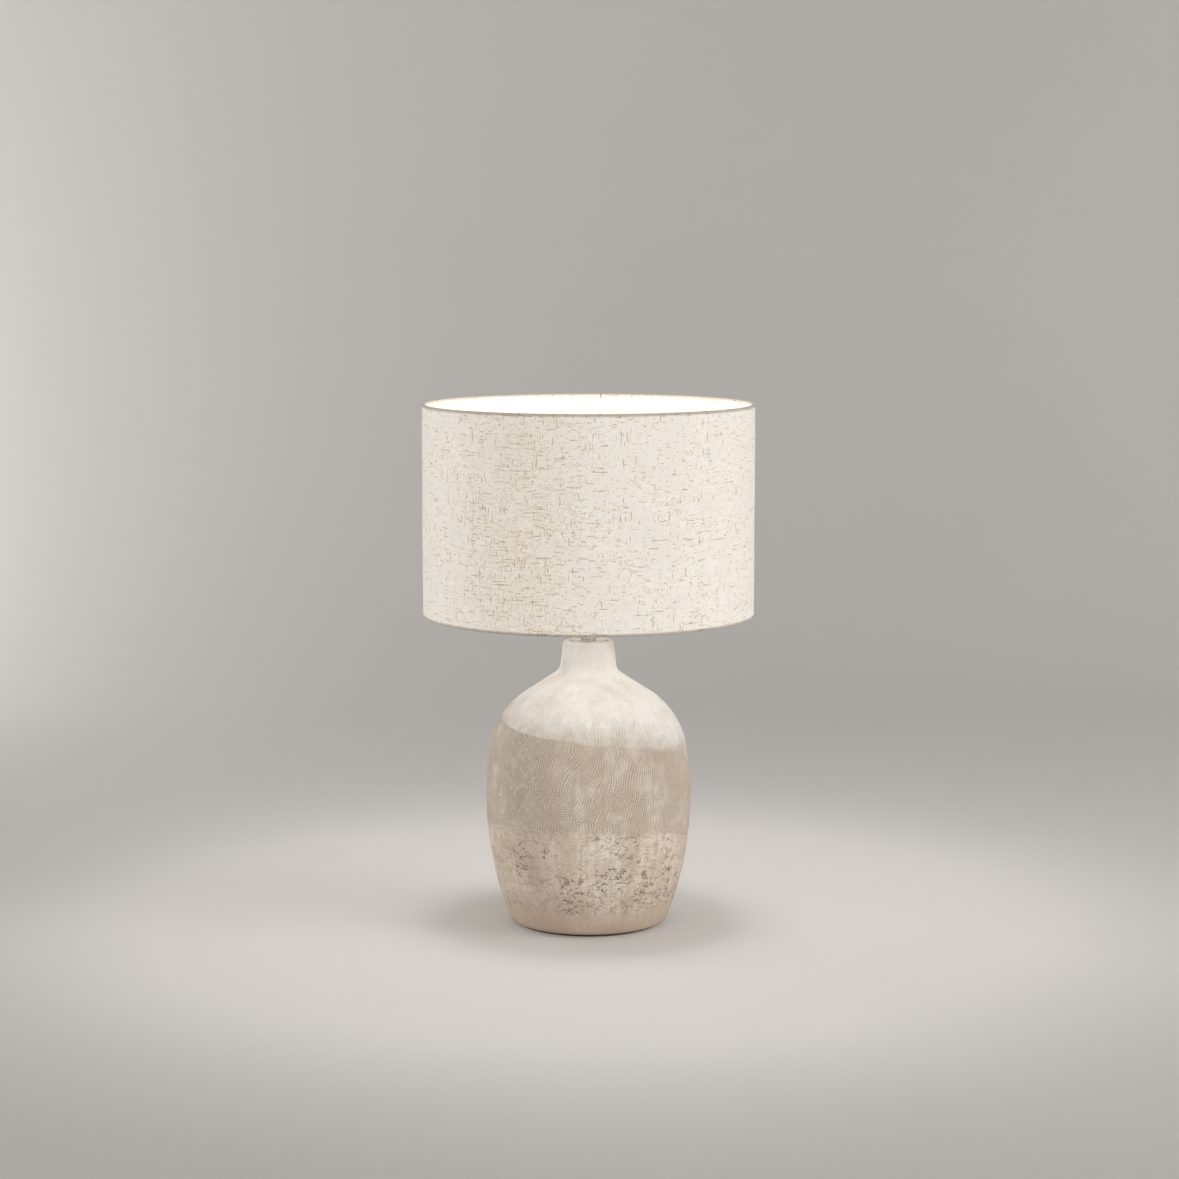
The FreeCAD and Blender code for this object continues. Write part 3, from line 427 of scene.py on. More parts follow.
def gauze_weave(n, turn, flat):
    """Beaded ribs left by gauze, leaning right in front, and crossed on the diagonal at the left."""
    laid = strayed(n, flat, 34 * MM, 12 * MM)
    inputs = {"Vector": laid, "Scale": 14.0, "Randomness": 0.9}
    patch = n.add("ShaderNodeTexVoronoi", inputs, voronoi_dimensions="2D")
    chance = n.add("ShaderNodeSeparateColor", {0: patch.outputs["Color"]})
    uneven = n.math("MULTIPLY_ADD", n.noise(6 * MM, flat, detail=3), 4.0, -2.0)
    leaning = n.step(chance.outputs[0], 0.0, 1.0, 0.14, 0.4)
    front = beaded_ribs(n, n.turned(laid, leaning), uneven, n.step(chance.outputs[1], 0.3, 0.8, 0.35, 0.8))
    side = beaded_ribs(n, n.turned(laid, CROSSED_ANGLE), uneven, 1.0)
    border = n.math("MULTIPLY_ADD", n.noise(20 * MM, flat, detail=2), 0.5, turn)
    left = n.step(border, -0.45, -0.35, 1.0, 0.0)
    weave = n.math("MULTIPLY_ADD", left, n.math("SUBTRACT", side, front), front)
    pressed = n.step(n.noise(14 * MM, flat, detail=4), 0.36, 0.58, 0.45, 1.0)
    return weave, pressed


def drawn_threads(n, turn, flat):
    """Pale raised lines of thicker threads, crossing on the diagonal at the left."""
    laid = strayed(n, flat, 30 * MM, 9 * MM)
    lines = []
    for angle, gap in ((0.62, 7.5 * MM), (-0.95, 9 * MM)):
        place = n.add("ShaderNodeSeparateXYZ", {0: n.turned(laid, angle)}).outputs[0]
        swing = n.math("MULTIPLY_ADD", n.noise(21 * MM, flat, detail=1), 5.0, -2.5)
        wave = n.math("SINE", n.math("MULTIPLY_ADD", place, 2 * math.pi / gap, swing))
        lines.append(n.step(wave, 0.93, 0.99))
    here = n.math("MULTIPLY", n.step(turn, -0.66, -0.42, 1.0, 0.0), n.step(turn, -2.0, -1.5))
    here = n.math("MULTIPLY", here, n.step(n.noise(11 * MM, flat, detail=3), 0.42, 0.6))
    return n.math("MULTIPLY", n.math("MAXIMUM", *lines), here)


def cracks(n, flat):
    """Creases and pits: the creases' height, 0 at their bottoms, and masks for the painted shade along the
    creases' bottoms and in the pits.
    """
    squashed = n.scaled(strayed(n, flat, 8 * MM, 6 * MM), (0.6, 1, 1))
    field = n.noise(4.6 * MM, squashed, detail=3, dimensions="2D")
    fold = n.math("ABSOLUTE", n.math("SUBTRACT", field, 0.5))
    elsewhere = n.vector("ADD", {0: squashed, 1: (3, 0, 0)})
    some = n.step(n.noise(6 * MM, elsewhere, detail=2, dimensions="2D"), 0.44, 0.58)
    height = n.math("SUBTRACT", 1.0, n.math("MULTIPLY", n.step(fold, 0.0, 0.07, 1.0, 0.0), some))
    crease_shade_mask = n.math("MULTIPLY", n.step(fold, 0.004, 0.02, 1.0, 0.0), some)
    inputs = {"Vector": squashed, "Scale": 1 / (1.9 * MM)}
    spots = n.add("ShaderNodeTexVoronoi", inputs, voronoi_dimensions="2D")
    chance = n.add("ShaderNodeSeparateColor", {0: spots.outputs["Color"]}).outputs[0]
    near = n.step(spots.outputs["Distance"], 0.08, 0.3, 1.0, 0.0)
    pit_shade_mask = n.math("MULTIPLY", near, n.step(chance, 0.62, 0.95))
    return height, crease_shade_mask, pit_shade_mask


def plaster():
    """White lime wash, taupe gauze print and beige cracked plaster, parted at the vessel's stored edges."""
    n = Nodes("plaster")
    turn, level, flat = flattened(n)
    wobble = n.math("MULTIPLY_ADD", n.noise(3.5 * MM, detail=4), 3.2, -1.6)
    fade = n.attribute("fade")
    reach = n.math("MULTIPLY_ADD", fade, 9.0, 0.5)
    edge = n.math("ADD", n.attribute("white_edge"), n.math("MULTIPLY", wobble, n.math("ADD", fade, 1.0)))
    cap = n.step(edge, n.math("MULTIPLY", reach, -0.8), reach)
    uncapped = n.math("SUBTRACT", 1.0, cap)
    band = n.step(n.math("ADD", n.attribute("gauze_edge"), wobble), -0.8, 0.8)
    weave, pressed = gauze_weave(n, turn, flat)
    away_from_back = n.step(n.math("ABSOLUTE", turn), 3.06, 3.13, 1.0, 0.0)
    # The print shows in the band, and faintly through the lowest part of the white wash.
    washed_over = n.step(n.attribute("white_edge"), 0.0, 46.0, 0.8, 0.2)
    strength = n.math("MULTIPLY_ADD", uncapped, band, n.math("MULTIPLY", cap, washed_over))
    printed = n.math("MULTIPLY", n.math("MULTIPLY", strength, pressed), away_from_back)
    height, crease_shade_mask, pit_shade_mask = cracks(n, flat)
    cracked = n.attribute("cracked")
    low_zone = n.math("MULTIPLY", n.math("SUBTRACT", 1.0, band), n.step(level, 0.016, 0.034))
    creased = n.math("MULTIPLY", low_zone, n.math("MULTIPLY_ADD", cracked, 0.55, 0.45))
    nicked = n.math("MULTIPLY", cap, n.step(n.noise(24 * MM, detail=3), 0.52, 0.72, 0.1, 0.5))
    creased = n.math("MAXIMUM", creased, nicked)
    # Painted shade, dark brown, along the bottoms of the creases and nicks and in the pits; it also dents
    # the relief a little.
    painted_crease_shade = n.math("MULTIPLY", crease_shade_mask, n.step(creased, 0.2, 0.9))
    painted_crease_shade = n.math("MAXIMUM", painted_crease_shade, n.math("MULTIPLY", pit_shade_mask, n.math("MULTIPLY", creased, 0.8)))
    raised = n.math("MULTIPLY", n.math("MULTIPLY", drawn_threads(n, turn, flat), band), uncapped)
    # Colours.
    grains = n.noise(1.7 * MM, detail=4, roughness=0.7)
    clouds = n.noise(34 * MM, detail=4)
    drawn_down = n.scaled(flat, (1, 0.12, 1))
    streaks = n.noise(6 * MM, drawn_down, detail=3, dimensions="2D")
    white = n.mix(n.step(clouds, 0.45, 0.7), colour(241, 238, 234), colour(228, 221, 213))
    near_edge = n.step(n.attribute("white_edge"), 0.0, 22.0, 1.0, 0.0)
    sallow = n.math("MULTIPLY", near_edge, n.step(clouds, 0.36, 0.6, 0.35, 1.0))
    white = n.mix(n.math("MULTIPLY", sallow, 0.85), white, colour(214, 203, 190))
    imprint = n.math("MULTIPLY", n.math("SUBTRACT", 1.0, weave), printed)
    white = n.mix(n.math("MULTIPLY", imprint, 0.7), white, colour(176, 160, 144))
    taupe = n.mix(n.step(clouds, 0.38, 0.62), colour(198, 181, 164), colour(219, 207, 193))
    taupe = n.mix(n.math("MULTIPLY", n.step(streaks, 0.42, 0.62), 0.35), taupe, colour(178, 162, 147))
    stained = n.math("MULTIPLY_ADD", n.noise(30 * MM, detail=3), 0.7, n.math("SUBTRACT", turn, 0.35))
    stain = n.math("MULTIPLY", n.step(stained, -1.15, -0.65), n.step(stained, -0.5, 0.0, 1.0, 0.0))
    taupe = n.mix(n.math("MULTIPLY", stain, 0.6), taupe, colour(168, 152, 140))
    weave_colour = n.mix(weave, colour(163, 145, 128), colour(231, 220, 207))
    sand = n.mix(n.step(clouds, 0.36, 0.62), colour(206, 190, 172), colour(226, 214, 200))
    sand = n.mix(n.math("MULTIPLY", n.step(streaks, 0.45, 0.62), 0.25), sand, colour(181, 163, 147))
    rosy = n.math("MULTIPLY", n.step(level, 0.004, 0.03, 1.0, 0.0), n.step(clouds, 0.42, 0.62))
    sand = n.mix(n.math("MULTIPLY", rosy, 0.6), sand, colour(184, 152, 136))
    sand = n.mix(n.math("MULTIPLY", stain, 0.45), sand, colour(172, 155, 142))
    # Darker towards the foot, where the belly turns under: painted shade.
    sand = n.mix(n.step(level, 0.0, 0.07, 0.6, 0.0), sand, colour(172, 151, 132))
    # Painted shade in the bottoms of the creases.
    sunk_painted_shade = n.math("MULTIPLY", n.math("SUBTRACT", 1.0, height), n.math("MULTIPLY", creased, 0.2))
    sand = n.mix(sunk_painted_shade, sand, colour(158, 139, 121))
    blended = n.step(n.math("MULTIPLY_ADD", wobble, 2.0, n.attribute("gauze_edge")), -9.0, 6.0)
    middle = n.mix(n.math("MULTIPLY", printed, 0.62), n.mix(blended, sand, taupe), weave_colour)
    middle = n.mix(n.math("MULTIPLY", raised, 0.8), middle, colour(230, 222, 211))
    body = n.mix(cap, middle, white)
    body = n.mix(n.step(grains, 0.3, 0.7, 0.0, 0.2), body, colour(165, 148, 133), "MULTIPLY")
    # The painted shade of the creases, nicks and pits, weaker on the white cap.
    body = n.mix(n.math("MULTIPLY", painted_crease_shade, n.step(cap, 0.0, 1.0, 0.5, 0.42)), body, colour(116, 80, 50))
    body = n.mix(n.attribute("skin"), colour(186, 160, 134), body)
    # Relief.
    normal = n.bump(n.math("MULTIPLY", weave, printed), 0.75 * MM)
    normal = n.bump(grains, 0.6 * MM, normal, 0.9)
    normal = n.bump(n.noise(4 * MM, detail=3), 0.8 * MM, normal, 0.6)
    normal = n.bump(raised, 0.4 * MM, normal)
    normal = n.bump(n.math("MULTIPLY", n.noise(2.6 * MM, detail=3), low_zone), 1.0 * MM, normal)
    normal = n.bump(n.math("MULTIPLY", n.math("SUBTRACT", height, 1.0), creased), 0.62 * MM, normal)
    normal = n.bump(n.math("MULTIPLY", painted_crease_shade, -1.0), 0.25 * MM, normal)
    n.set(Base_Color=body, Normal=normal, Roughness=n.step(grains, 0.3, 0.7, 0.78, 0.95))
    n.shader.inputs["Specular IOR Level"].default_value = 0.25
    return n.material


# The shade --------------------------------------------------------------------------------------

LINEN_STEP = 1.6 * MM
LINEN_COLUMNS = 690
DRUM_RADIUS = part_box("shade_fabric")[1].x
CLOTH = 0.55 * MM
THREAD_PITCH = 0.8 * MM
# How far the cloth's free end laps over the other, also as a turn round the drum in radians.
LAP_WIDTH = 14 * MM
LAP = LAP_WIDTH / DRUM_RADIUS


def linen_outline():
    """The linen's section: down the outside, round the bottom wire, up inside, round the top wire."""
    low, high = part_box("shade_fabric")
    ring_low, ring_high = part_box("top_ring")
    wire = (ring_high.z - ring_low.z) / 2
    centre = ring_high.x - wire
    outer, inner = DRUM_RADIUS - centre, DRUM_RADIUS - centre - CLOTH
    top, bottom = high.z - outer, low.z + outer

    def bend(level, size, start, stop):
        turns = np.radians(np.linspace(start, stop, 14))
        return [(centre + size * math.cos(a), level + size * math.sin(a)) for a in turns]

    outside = evenly(np.array([(DRUM_RADIUS, top), (DRUM_RADIUS, bottom)]), LINEN_STEP)[1:-1]
    inside = evenly(np.array([(centre + inner, bottom), (centre + inner, top)]), 6 * MM)[1:-1]
    parts = [
        bend(top, outer, 270, 0),
        outside,
        bend(bottom, outer, 0, -270),
        bend(bottom, inner, -270, 0),
        inside,
        bend(top, inner, 0, 270),
    ]
    return np.vstack(parts)


def linen_shade():
    """The drum's linen, one strip of cloth lapped at the back and rolled round both wire rings."""
    outline = linen_outline()
    mesh = lathe("linen", outline, LINEN_COLUMNS)
    made = new_object("linen", mesh)
    points = coordinates(mesh)
    turn = np.arctan2(points[:, 0], -points[:, 1])
    radius = np.hypot(points[:, 0], points[:, 1])
    outermost = radius.max()
    outside = smooth_step(outermost - 0.5 * MM, outermost - 0.05 * MM, radius)
    slow, fine = Perlin(21), Perlin(34)
    lap = smooth_step(math.pi - LAP - 0.005, math.pi - LAP + 0.005, turn) * CLOTH
    flat = np.stack([turn * outermost, points[:, 2], np.zeros(len(points))], axis=1)
    ring = np.stack([np.cos(turn), np.sin(turn), points[:, 2] / outermost], axis=1) * outermost
    threads = fine(flat * [0.09, 1, 1], 1.9 * MM) + fine(flat * [1, 0.09, 1] + 5, 1.9 * MM)
    push = 0.1 * MM + outside * (lap + 0.12 * MM * threads + 0.35 * MM * slow(ring, 60 * MM))
    low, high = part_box("shade_fabric")
    edge = np.minimum(points[:, 2] - low.z, high.z - points[:, 2])
    hem = smooth_step(5 * MM, 2 * MM, edge) * 0.3 * MM * slow(ring + 3, 25 * MM)
    push += outside * hem
    points[:, :2] *= (1 + push / radius)[:, None]
    mesh.vertices.foreach_set("co", points.astype(np.float32).ravel())
    store(mesh, "edge", edge / MM)
    store(mesh, "inward", smooth_step(outermost - 2 * MM, outermost - 3 * MM, radius))
    mesh.update()
    mesh.materials.append(linen())
    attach(made, "shade")
    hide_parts("shade_fabric")
    return made


def slubs(n, along, across, pitch, length, seed, low, high):
    """Slubs that each follow one thread, fading along it and across it."""
    share = n.math("DIVIDE", across, pitch)
    row = n.math("FLOOR", share)
    profile = n.math("SINE", n.math("MULTIPLY", n.math("FRACT", share), math.pi))
    inputs = {0: n.math("DIVIDE", along, length), 1: n.math("MULTIPLY", row, 7.31), 2: seed}
    place = n.add("ShaderNodeCombineXYZ", inputs).outputs[0]
    return n.math("MULTIPLY", n.step(n.noise(1.0, place, roughness=0.6), low, high), profile)


def linen():
    """Undyed linen: a pale ground, fine threads both ways and scattered brown slubs, lit from within."""
    n = Nodes("linen")
    split = n.add("ShaderNodeSeparateXYZ", {0: n.place()})
    turn = n.math("ARCTAN2", split.outputs[0], n.math("MULTIPLY", split.outputs[1], -1.0))
    waver = n.noise(14 * MM, detail=2, output="Color")
    waver = n.add("ShaderNodeSeparateColor", {0: waver})
    around = n.math("MULTIPLY_ADD", waver.outputs[0], 2.4 * MM, n.math("MULTIPLY", turn, DRUM_RADIUS))
    up = n.math("MULTIPLY_ADD", waver.outputs[1], 2.4 * MM, split.outputs[2])
    clouds = n.noise(40 * MM, detail=3)
    # A broad stretch left of the middle where the shade is lit less: painted shade as a darker ground, with
    # more slubs there too.
    painted_dim_stretch = n.math("MULTIPLY", n.step(turn, -1.0, -0.5), n.step(turn, -0.3, 0.2, 1.0, 0.0))
    plenty = n.math("MULTIPLY_ADD", painted_dim_stretch, 0.05, n.step(clouds, 0.35, 0.65, -0.03, 0.02))
    crossing = []
    for pitch, length, seed, low, high in (
        (1.0 * MM, 20 * MM, 1.0, 0.56, 0.71),
        (1.2 * MM, 11 * MM, 4.0, 0.57, 0.725),
        (1.0 * MM, 5 * MM, 6.0, 0.58, 0.76),
        (1.8 * MM, 7 * MM, 8.0, 0.66, 0.80),
        (0.7 * MM, 4 * MM, 10.0, 0.52, 0.85),
        (0.7 * MM, 9 * MM, 11.0, 0.51, 0.85),
    ):
        low = n.math("SUBTRACT", low, plenty)
        crossing.append(slubs(n, around, up, pitch, length, seed, low, high))
        crossing.append(slubs(n, up, around, pitch, length, seed + 20, n.math("ADD", low, 0.03), high))
    brown = crossing[0]
    for streak in crossing[1:]:
        brown = n.math("MAXIMUM", brown, streak)
    pale = [
        slubs(n, around, up, 0.7 * MM, 15 * MM, 12.0, 0.45, 0.75),
        slubs(n, up, around, 0.7 * MM, 15 * MM, 15.0, 0.45, 0.75),
    ]
    light = n.math("MAXIMUM", *pale)
    long_threads = [
        slubs(n, around, up, 1.1 * MM, 50 * MM, 31.0, 0.4, 0.7),
        slubs(n, up, around, 1.1 * MM, 50 * MM, 35.0, 0.4, 0.7),
    ]
    tinted = n.math("MAXIMUM", *long_threads)
    fibres = n.noise(0.9 * MM, detail=2)
    ground = n.mix(n.step(clouds, 0.35, 0.65), colour(231, 228, 223), colour(238, 236, 232))
    # Painted shade: the darker ground over the dim stretch.
    ground = n.mix(n.math("MULTIPLY", painted_dim_stretch, 0.6), ground, colour(232, 225, 216))
    cloth = n.mix(n.math("MULTIPLY", light, 0.4), ground, colour(248, 246, 243))
    cloth = n.mix(n.math("MULTIPLY", tinted, 0.4), cloth, colour(221, 212, 199))
    cloth = n.mix(n.step(fibres, 0.35, 0.65, 0.0, 0.3), cloth, colour(216, 207, 195))
    cloth = n.mix(n.step(brown, 0.0, 0.5, 0.0, 0.7), cloth, colour(210, 194, 170))
    cloth = n.mix(n.step(brown, 0.3, 0.95, 0.0, 0.9), cloth, colour(150, 121, 88))
    knots = n.math("MULTIPLY", n.step(n.noise(1.5 * MM, detail=1), 0.73, 0.79), 0.75)
    cloth = n.mix(knots, cloth, colour(122, 100, 74))
    # A thin line of painted shadow along the lap's edge, down the back.
    from_lap = n.math("ABSOLUTE", n.math("SUBTRACT", turn, math.pi - LAP))
    cloth = n.mix(n.step(from_lap, 0.003, 0.007, 0.7, 0.0), cloth, colour(140, 124, 104))
    # The wires inside the rolled edges stop the bulb's light: the hems get a darker colour, painted shade,
    # and less glow.
    edge = n.attribute("edge")
    clear = n.step(edge, 1.4, 4.2)
    painted_hem_shade = n.mix(1.0, cloth, colour(206, 200, 192), "MULTIPLY")
    hem = n.mix(clear, painted_hem_shade, cloth)
    threads = n.math(
        "ADD",
        n.math("SINE", n.math("MULTIPLY", around, 2 * math.pi / THREAD_PITCH)),
        n.math("SINE", n.math("MULTIPLY", up, 2 * math.pi / THREAD_PITCH)),
    )
    thick = n.math("MULTIPLY", n.math("ADD", brown, light), 0.5)
    relief = n.math("MULTIPLY_ADD", threads, 0.2, thick)
    normal = n.bump(relief, 0.25 * MM, None, 0.8)
    # The glow is painted light: the bulb's light through the cloth, weaker at the hems and strongest on the
    # inner roll that faces the bulb.
    painted_glow = n.mix(1.0, hem, colour(255, 250, 243), "MULTIPLY")
    n.set(Base_Color=hem, Normal=normal, Roughness=0.92, Emission_Color=painted_glow)
    facing_bulb = n.math("MULTIPLY", n.attribute("inward"), 0.8)
    n.feed(n.shader, "Emission Strength", n.math("MULTIPLY_ADD", clear, 0.1, facing_bulb))
    n.shader.inputs["Sheen Weight"].default_value = 0.15
    n.shader.inputs["Specular IOR Level"].default_value = 0.2
    return n.material


# The other materials ----------------------------------------------------------------------------


def felt():
    n = Nodes("felt")
    hairs = n.noise(0.7 * MM, detail=4, roughness=0.7)
    body = n.mix(hairs, colour(38, 33, 30), colour(74, 67, 61))
    n.set(Base_Color=body, Roughness=0.97, Normal=n.bump(hairs, 0.5 * MM))
    n.shader.inputs["Sheen Weight"].default_value = 0.3
    return n.material


def plastic(name, shade, roughness, blotch=0.05):
    """Moulded plastic with a faint flow in its colour and a fine orange peel."""
    n = Nodes(name)
    flow = n.noise(18 * MM, detail=2)
    peel = n.noise(1.2 * MM, detail=2)
    body = n.mix(n.math("MULTIPLY", flow, blotch * 4), shade, tuple(c * 0.86 for c in shade))
    n.set(Base_Color=body, Normal=n.bump(peel, 0.02 * MM, None, 0.5))
    n.set(Roughness=n.step(peel, 0.3, 0.7, roughness - 0.05, roughness + 0.07))
    return n.material


def metal(name, shade, roughness, wear=0.12):
    """Metal with fine scratches and slightly uneven polish."""
    n = Nodes(name)
    scratches = n.noise(0.8 * MM, n.scaled(n.place(), (1, 1, 9)))
    patches = n.noise(6 * MM, detail=3)
    body = n.mix(n.step(patches, 0.4, 0.7, 0.0, 0.5), shade, tuple(c * 0.72 for c in shade))
    n.set(Base_Color=body, Metallic=1.0, Normal=n.bump(scratches, 0.02 * MM, None, 0.5))
    n.set(Roughness=n.step(scratches, 0.3, 0.7, roughness, roughness + wear))
    return n.material


def painted_wire():
    n = Nodes("painted_wire")
    runs = n.noise(3 * MM, detail=3)
    chips = n.step(n.noise(5 * MM, detail=4), 0.66, 0.69)
    body = n.mix(chips, colour(232, 229, 222), colour(196, 190, 180))
    n.set(Base_Color=body, Roughness=n.step(runs, 0.3, 0.7, 0.25, 0.4), Normal=n.bump(runs, 0.08 * MM))
    return n.material


def laminate():
    """The shade's white lining, very finely grained, glowing a little as it does when lit."""
    n = Nodes("laminate")
    grain = n.noise(0.8 * MM, detail=3)
    cloth = n.noise(50 * MM, detail=2)
    body = n.mix(n.step(cloth, 0.3, 0.7), colour(246, 244, 238), colour(238, 234, 226))
    n.set(Base_Color=body, Roughness=0.5, Normal=n.bump(grain, 0.05 * MM))
    n.set(Emission_Color=(1.0, 0.96, 0.9, 1.0), Emission_Strength=0.1)
    return n.material


def fibreboard():
    n = Nodes("fibreboard")
    fibres = n.noise(2 * MM, n.scaled(n.place(), (1, 3, 1)), detail=5)
    body = n.mix(fibres, colour(104, 78, 50), colour(158, 126, 88))
    n.set(Base_Color=body, Roughness=0.85, Normal=n.bump(fibres, 0.15 * MM))
    return n.material


def opal():
    """The bulb's diffuser, lit from inside."""
    n = Nodes("opal")
    cloud = n.noise(12 * MM, detail=2)
    body = n.mix(cloud, colour(250, 247, 240), colour(240, 236, 228))
    n.set(Base_Color=body, Roughness=0.35, Emission_Color=(1.0, 0.93, 0.82, 1.0))
    n.set(Emission_Strength=n.step(cloud, 0.3, 0.7, 5.4, 6.0))
    return n.material


def circuit_board(name, shade):
    n = Nodes(name)
    inputs = {"Vector": n.place(), "Scale": 260.0}
    tracks = n.add("ShaderNodeTexVoronoi", inputs, feature="DISTANCE_TO_EDGE").outputs[0]
    body = n.mix(n.step(tracks, 0.02, 0.06), tuple(c * 1.35 for c in shade), shade)
    n.set(Base_Color=body, Roughness=0.35, Normal=n.bump(tracks, 0.05 * MM, None, 0.4))
    return n.material


def phosphor():
    n = Nodes("phosphor")
    rim = n.noise(1.0 * MM, detail=2)
    n.set(Base_Color=n.mix(rim, colour(238, 206, 96), colour(224, 180, 62)), Roughness=0.4)
    n.set(Emission_Color=(1.0, 0.9, 0.7, 1.0), Emission_Strength=2.0)
    return n.material


def dress_cad_nodes():
    """The CAD nodes that stay get their materials."""
    white = plastic("white_plastic", colour(232, 231, 226), 0.28)
    zinc = metal("zinc", (0.62, 0.63, 0.64), 0.3)
    brass = metal("brass", (0.78, 0.56, 0.24), 0.25)
    wire = painted_wire()
    lining = laminate()
    paint(["felt_pad"], felt())
    paint(["base_cover"], fibreboard())
    paint(["cord_bush"], plastic("ivory_plastic", colour(214, 205, 188), 0.42))
    paint(["threaded_nipple", "inner_washer", "inner_nut", "neck_nut"], zinc)
    paint(["terminal_screws", "holder_grub_screw"], zinc)
    paint(["neck_cap"], metal("satin_nickel", (0.72, 0.71, 0.68), 0.34))
    paint(["holder_cap", "holder_shell", "clamp_ring", "bulb_collar"], white)
    paint(["holder_insert"], plastic("porcelain", colour(226, 222, 212), 0.3))
    paint(["screw_shell", "terminal_blocks"], brass)
    paint(["centre_contact"], metal("bronze", (0.66, 0.42, 0.22), 0.28))
    paint(["top_ring", "bottom_ring", "fitter_ring", "spider_arms"], wire)
    paint(["shade_liner", "seam_tape"], lining)
    paint(["bulb_tip_contact"], metal("solder", (0.55, 0.55, 0.56), 0.4))
    paint(["bulb_insulator"], plastic("black_glass", colour(24, 24, 27), 0.12))
    paint(["bulb_screw_cap"], metal("nickel_cap", (0.74, 0.73, 0.70), 0.22))
    paint(["bulb_globe"], opal())
    paint(["bulb_led_board"], circuit_board("white_board", colour(220, 222, 218)))
    paint(["bulb_led_chips"], phosphor())
    paint(["bulb_driver_board"], circuit_board("green_board", colour(30, 96, 52)))


# The studio -------------------------------------------------------------------------------------


CAMERA_PLACE = (0.0011, -3.125, 0.747)
# How far the camera looks down, in degrees, and its lens on a sensor 36 mm wide.
CAMERA_TILT = 7.10
LENS, SENSOR = 90.75, 36.0


def camera():
    """A long lens, a little higher than the lamp."""
    made = bpy.data.objects.new("camera", bpy.data.cameras.new("camera"))
    bpy.context.scene.collection.objects.link(made)
    made.data.sensor_width = SENSOR
    made.data.lens = LENS
    made.location = CAMERA_PLACE
    made.rotation_euler = Euler((math.radians(90 - CAMERA_TILT), 0, 0))
    bpy.context.scene.camera = made


def backdrop():
    """A floor that sweeps up into a wall behind the lamp."""
    half_width, front, wall, radius, top = 6.0, -5.0, 2.6, 1.2, 5.0
    section = [(front, 0.0), (wall - radius, 0.0)]
    section += [
        (wall - radius + radius * math.sin(a), radius - radius * math.cos(a))
        for a in np.linspace(0, math.pi / 2, 24)[1:]
    ]
    section += [(wall, top)]
    mesh = bpy.data.meshes.new("backdrop")
    points = [(side * half_width, y, z) for y, z in section for side in (-1, 1)]
    faces = [(2 * k, 2 * k + 1, 2 * k + 3, 2 * k + 2) for k in range(len(section) - 1)]
    mesh.from_pydata(points, [], faces)
    for face in mesh.polygons:
        face.use_smooth = True
    made = new_object("backdrop", mesh)
    n = Nodes("backdrop")
    n.set(Base_Color=n.mix(n.noise(0.8), colour(186, 183, 180), colour(190, 187, 183)), Roughness=0.9)
    mesh.materials.append(n.material)
    return made


# The CAD nodes that the bulb lights up inside the shade.
INSIDE_SHADE = ("shade_liner", "seam_tape", "top_ring", "bottom_ring", "fitter_ring", "spider_arms")


def add_light(name, kind, place, power, shade, receivers, blockers=None):
    """A light that the camera can't see, on the receivers alone, shadowed by the blockers alone."""
    made = bpy.data.objects.new(name, bpy.data.lights.new(name, kind))
    bpy.context.scene.collection.objects.link(made)
    made.data.energy = power
    made.data.color = shade
    made.location = place
    made.visible_camera = False
    for role, things in (("receiver", receivers), ("blocker", blockers)):
        if things:
            group = bpy.data.collections.new(name + "_" + role)
            for thing in things:
                group.objects.link(thing)
            setattr(made.light_linking, role + "_collection", group)
    return made


def panel(name, place, target, size, power, shade, receivers):
    """A soft rectangular light that faces its target."""
    made = add_light(name, "AREA", place, power, shade, receivers)
    made.data.shape = "RECTANGLE"
    made.data.size, made.data.size_y = size
    made.rotation_euler = (Vector(target) - Vector(place)).to_track_quat("-Z", "Y").to_euler()


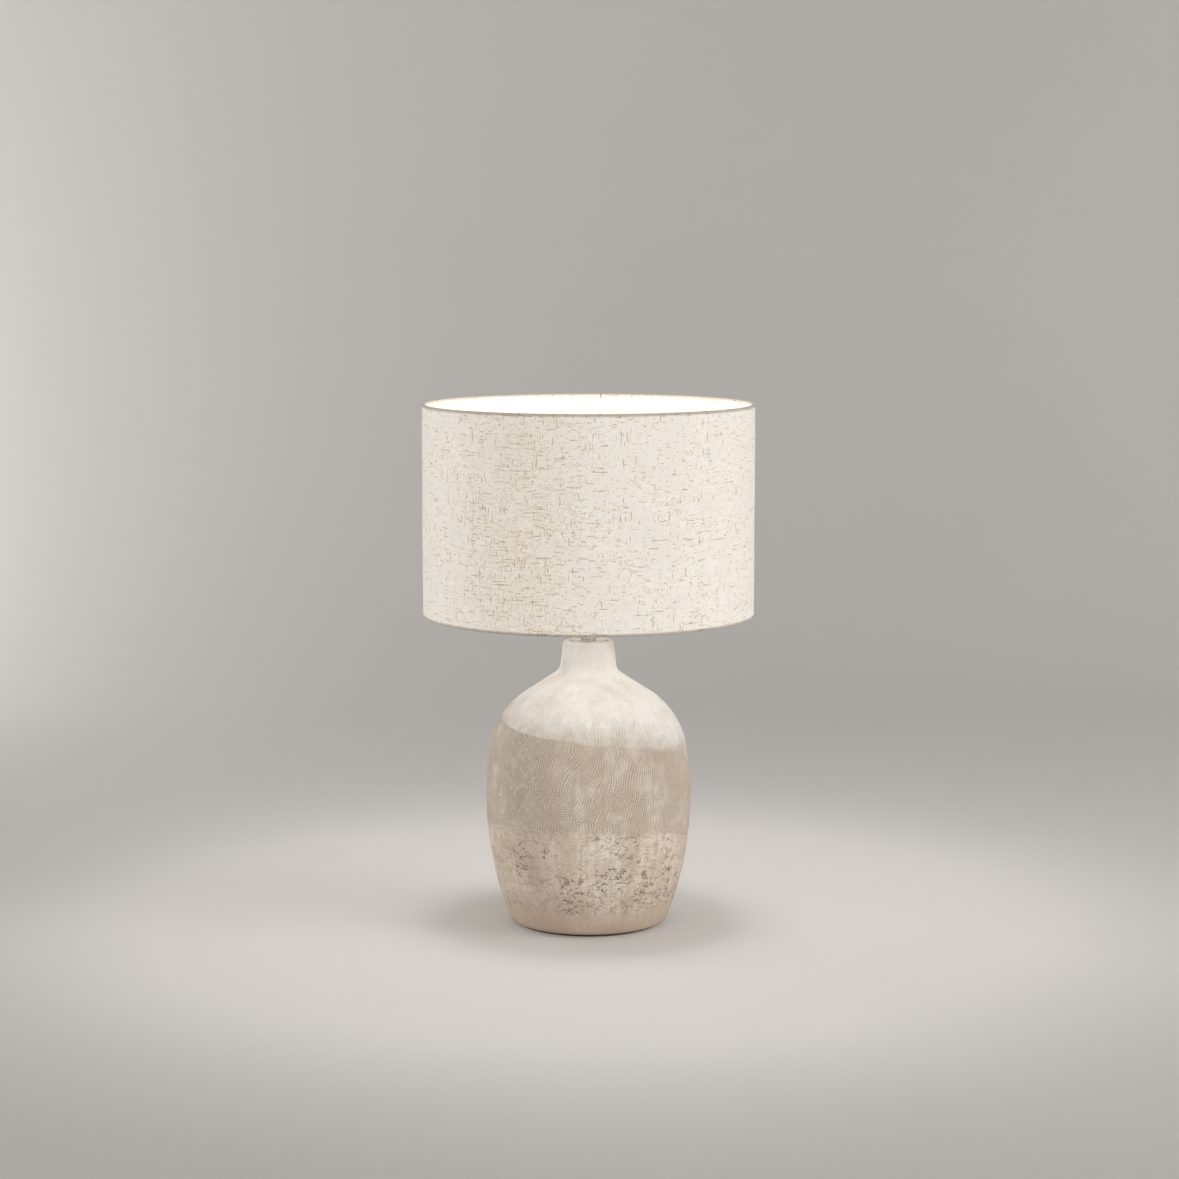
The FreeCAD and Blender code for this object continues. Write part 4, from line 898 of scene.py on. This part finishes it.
def bulb(name, place, power, size, receivers, blockers=None):
    """The lit bulb as a round light that doesn't fade with distance."""
    made = add_light(name, "POINT", place, power, (1.0, 0.978, 0.95), receivers, blockers)
    made.data.shadow_soft_size = size
    made.data.use_nodes = True
    tree = made.data.node_tree
    fade = tree.nodes.new("ShaderNodeLightFalloff")
    fade.inputs["Strength"].default_value = 1.0
    emission = next(node for node in tree.nodes if node.type == "EMISSION")
    tree.links.new(fade.outputs["Constant"], emission.inputs["Strength"])


def lights(floor, shade, lamp):
    """Soft light from all round, panels on the lamp and on the backdrop, and the bulb's own light."""
    world = bpy.data.worlds.new("studio")
    bpy.context.scene.world = world
    world.use_nodes = True
    background = world.node_tree.nodes["Background"]
    background.inputs["Color"].default_value = (1.0, 0.995, 0.988, 1)
    background.inputs["Strength"].default_value = 0.62
    panel("key", (2.6, -1.8, 0.95), (0, 0, 0.25), (1.6, 1.3), 52, (1.0, 0.992, 0.98), lamp)
    panel("fill", (-2.6, -1.3, 0.95), (0, 0, 0.3), (1.6, 1.3), 35, (1.0, 0.998, 0.99), lamp)
    panel("front", (3.0, -1.0, 1.8), (1.3, 2.6, 0.6), (2.0, 2.0), 52, (1.0, 0.99, 0.98), [floor])
    wash = add_light("wash", "POINT", (-1.9, 1.6, 0.5), 56, (1.0, 0.99, 0.975), [floor])
    wash.data.shadow_soft_size = 0.4
    bulb_low, bulb_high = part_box("bulb_globe")
    centre = bulb_low.lerp(bulb_high, 0.5)
    bulb("bulb_light", centre, 0.35, 0.03, lamp)
    bulb("inner_light", centre, 8.0, 0.03, [shade, *(NODES[name] for name in INSIDE_SHADE)])
    bulb("pool_light", centre, 19.0, 0.06, [floor], lamp)
    bulb("open_pool_light", centre, 11.0, 0.06, [floor], [shade])
    NODES["bulb_globe"].visible_shadow = False


# The lamp ---------------------------------------------------------------------------------------

camera()
dress_cad_nodes()
made_shade = linen_shade()
lights(backdrop(), made_shade, [vessel(), made_shade, *NODES.values()])

scene = bpy.context.scene
scene.view_settings.view_transform = "Standard"
scene.cycles.use_denoising = True
scene.cycles.max_bounces = 8
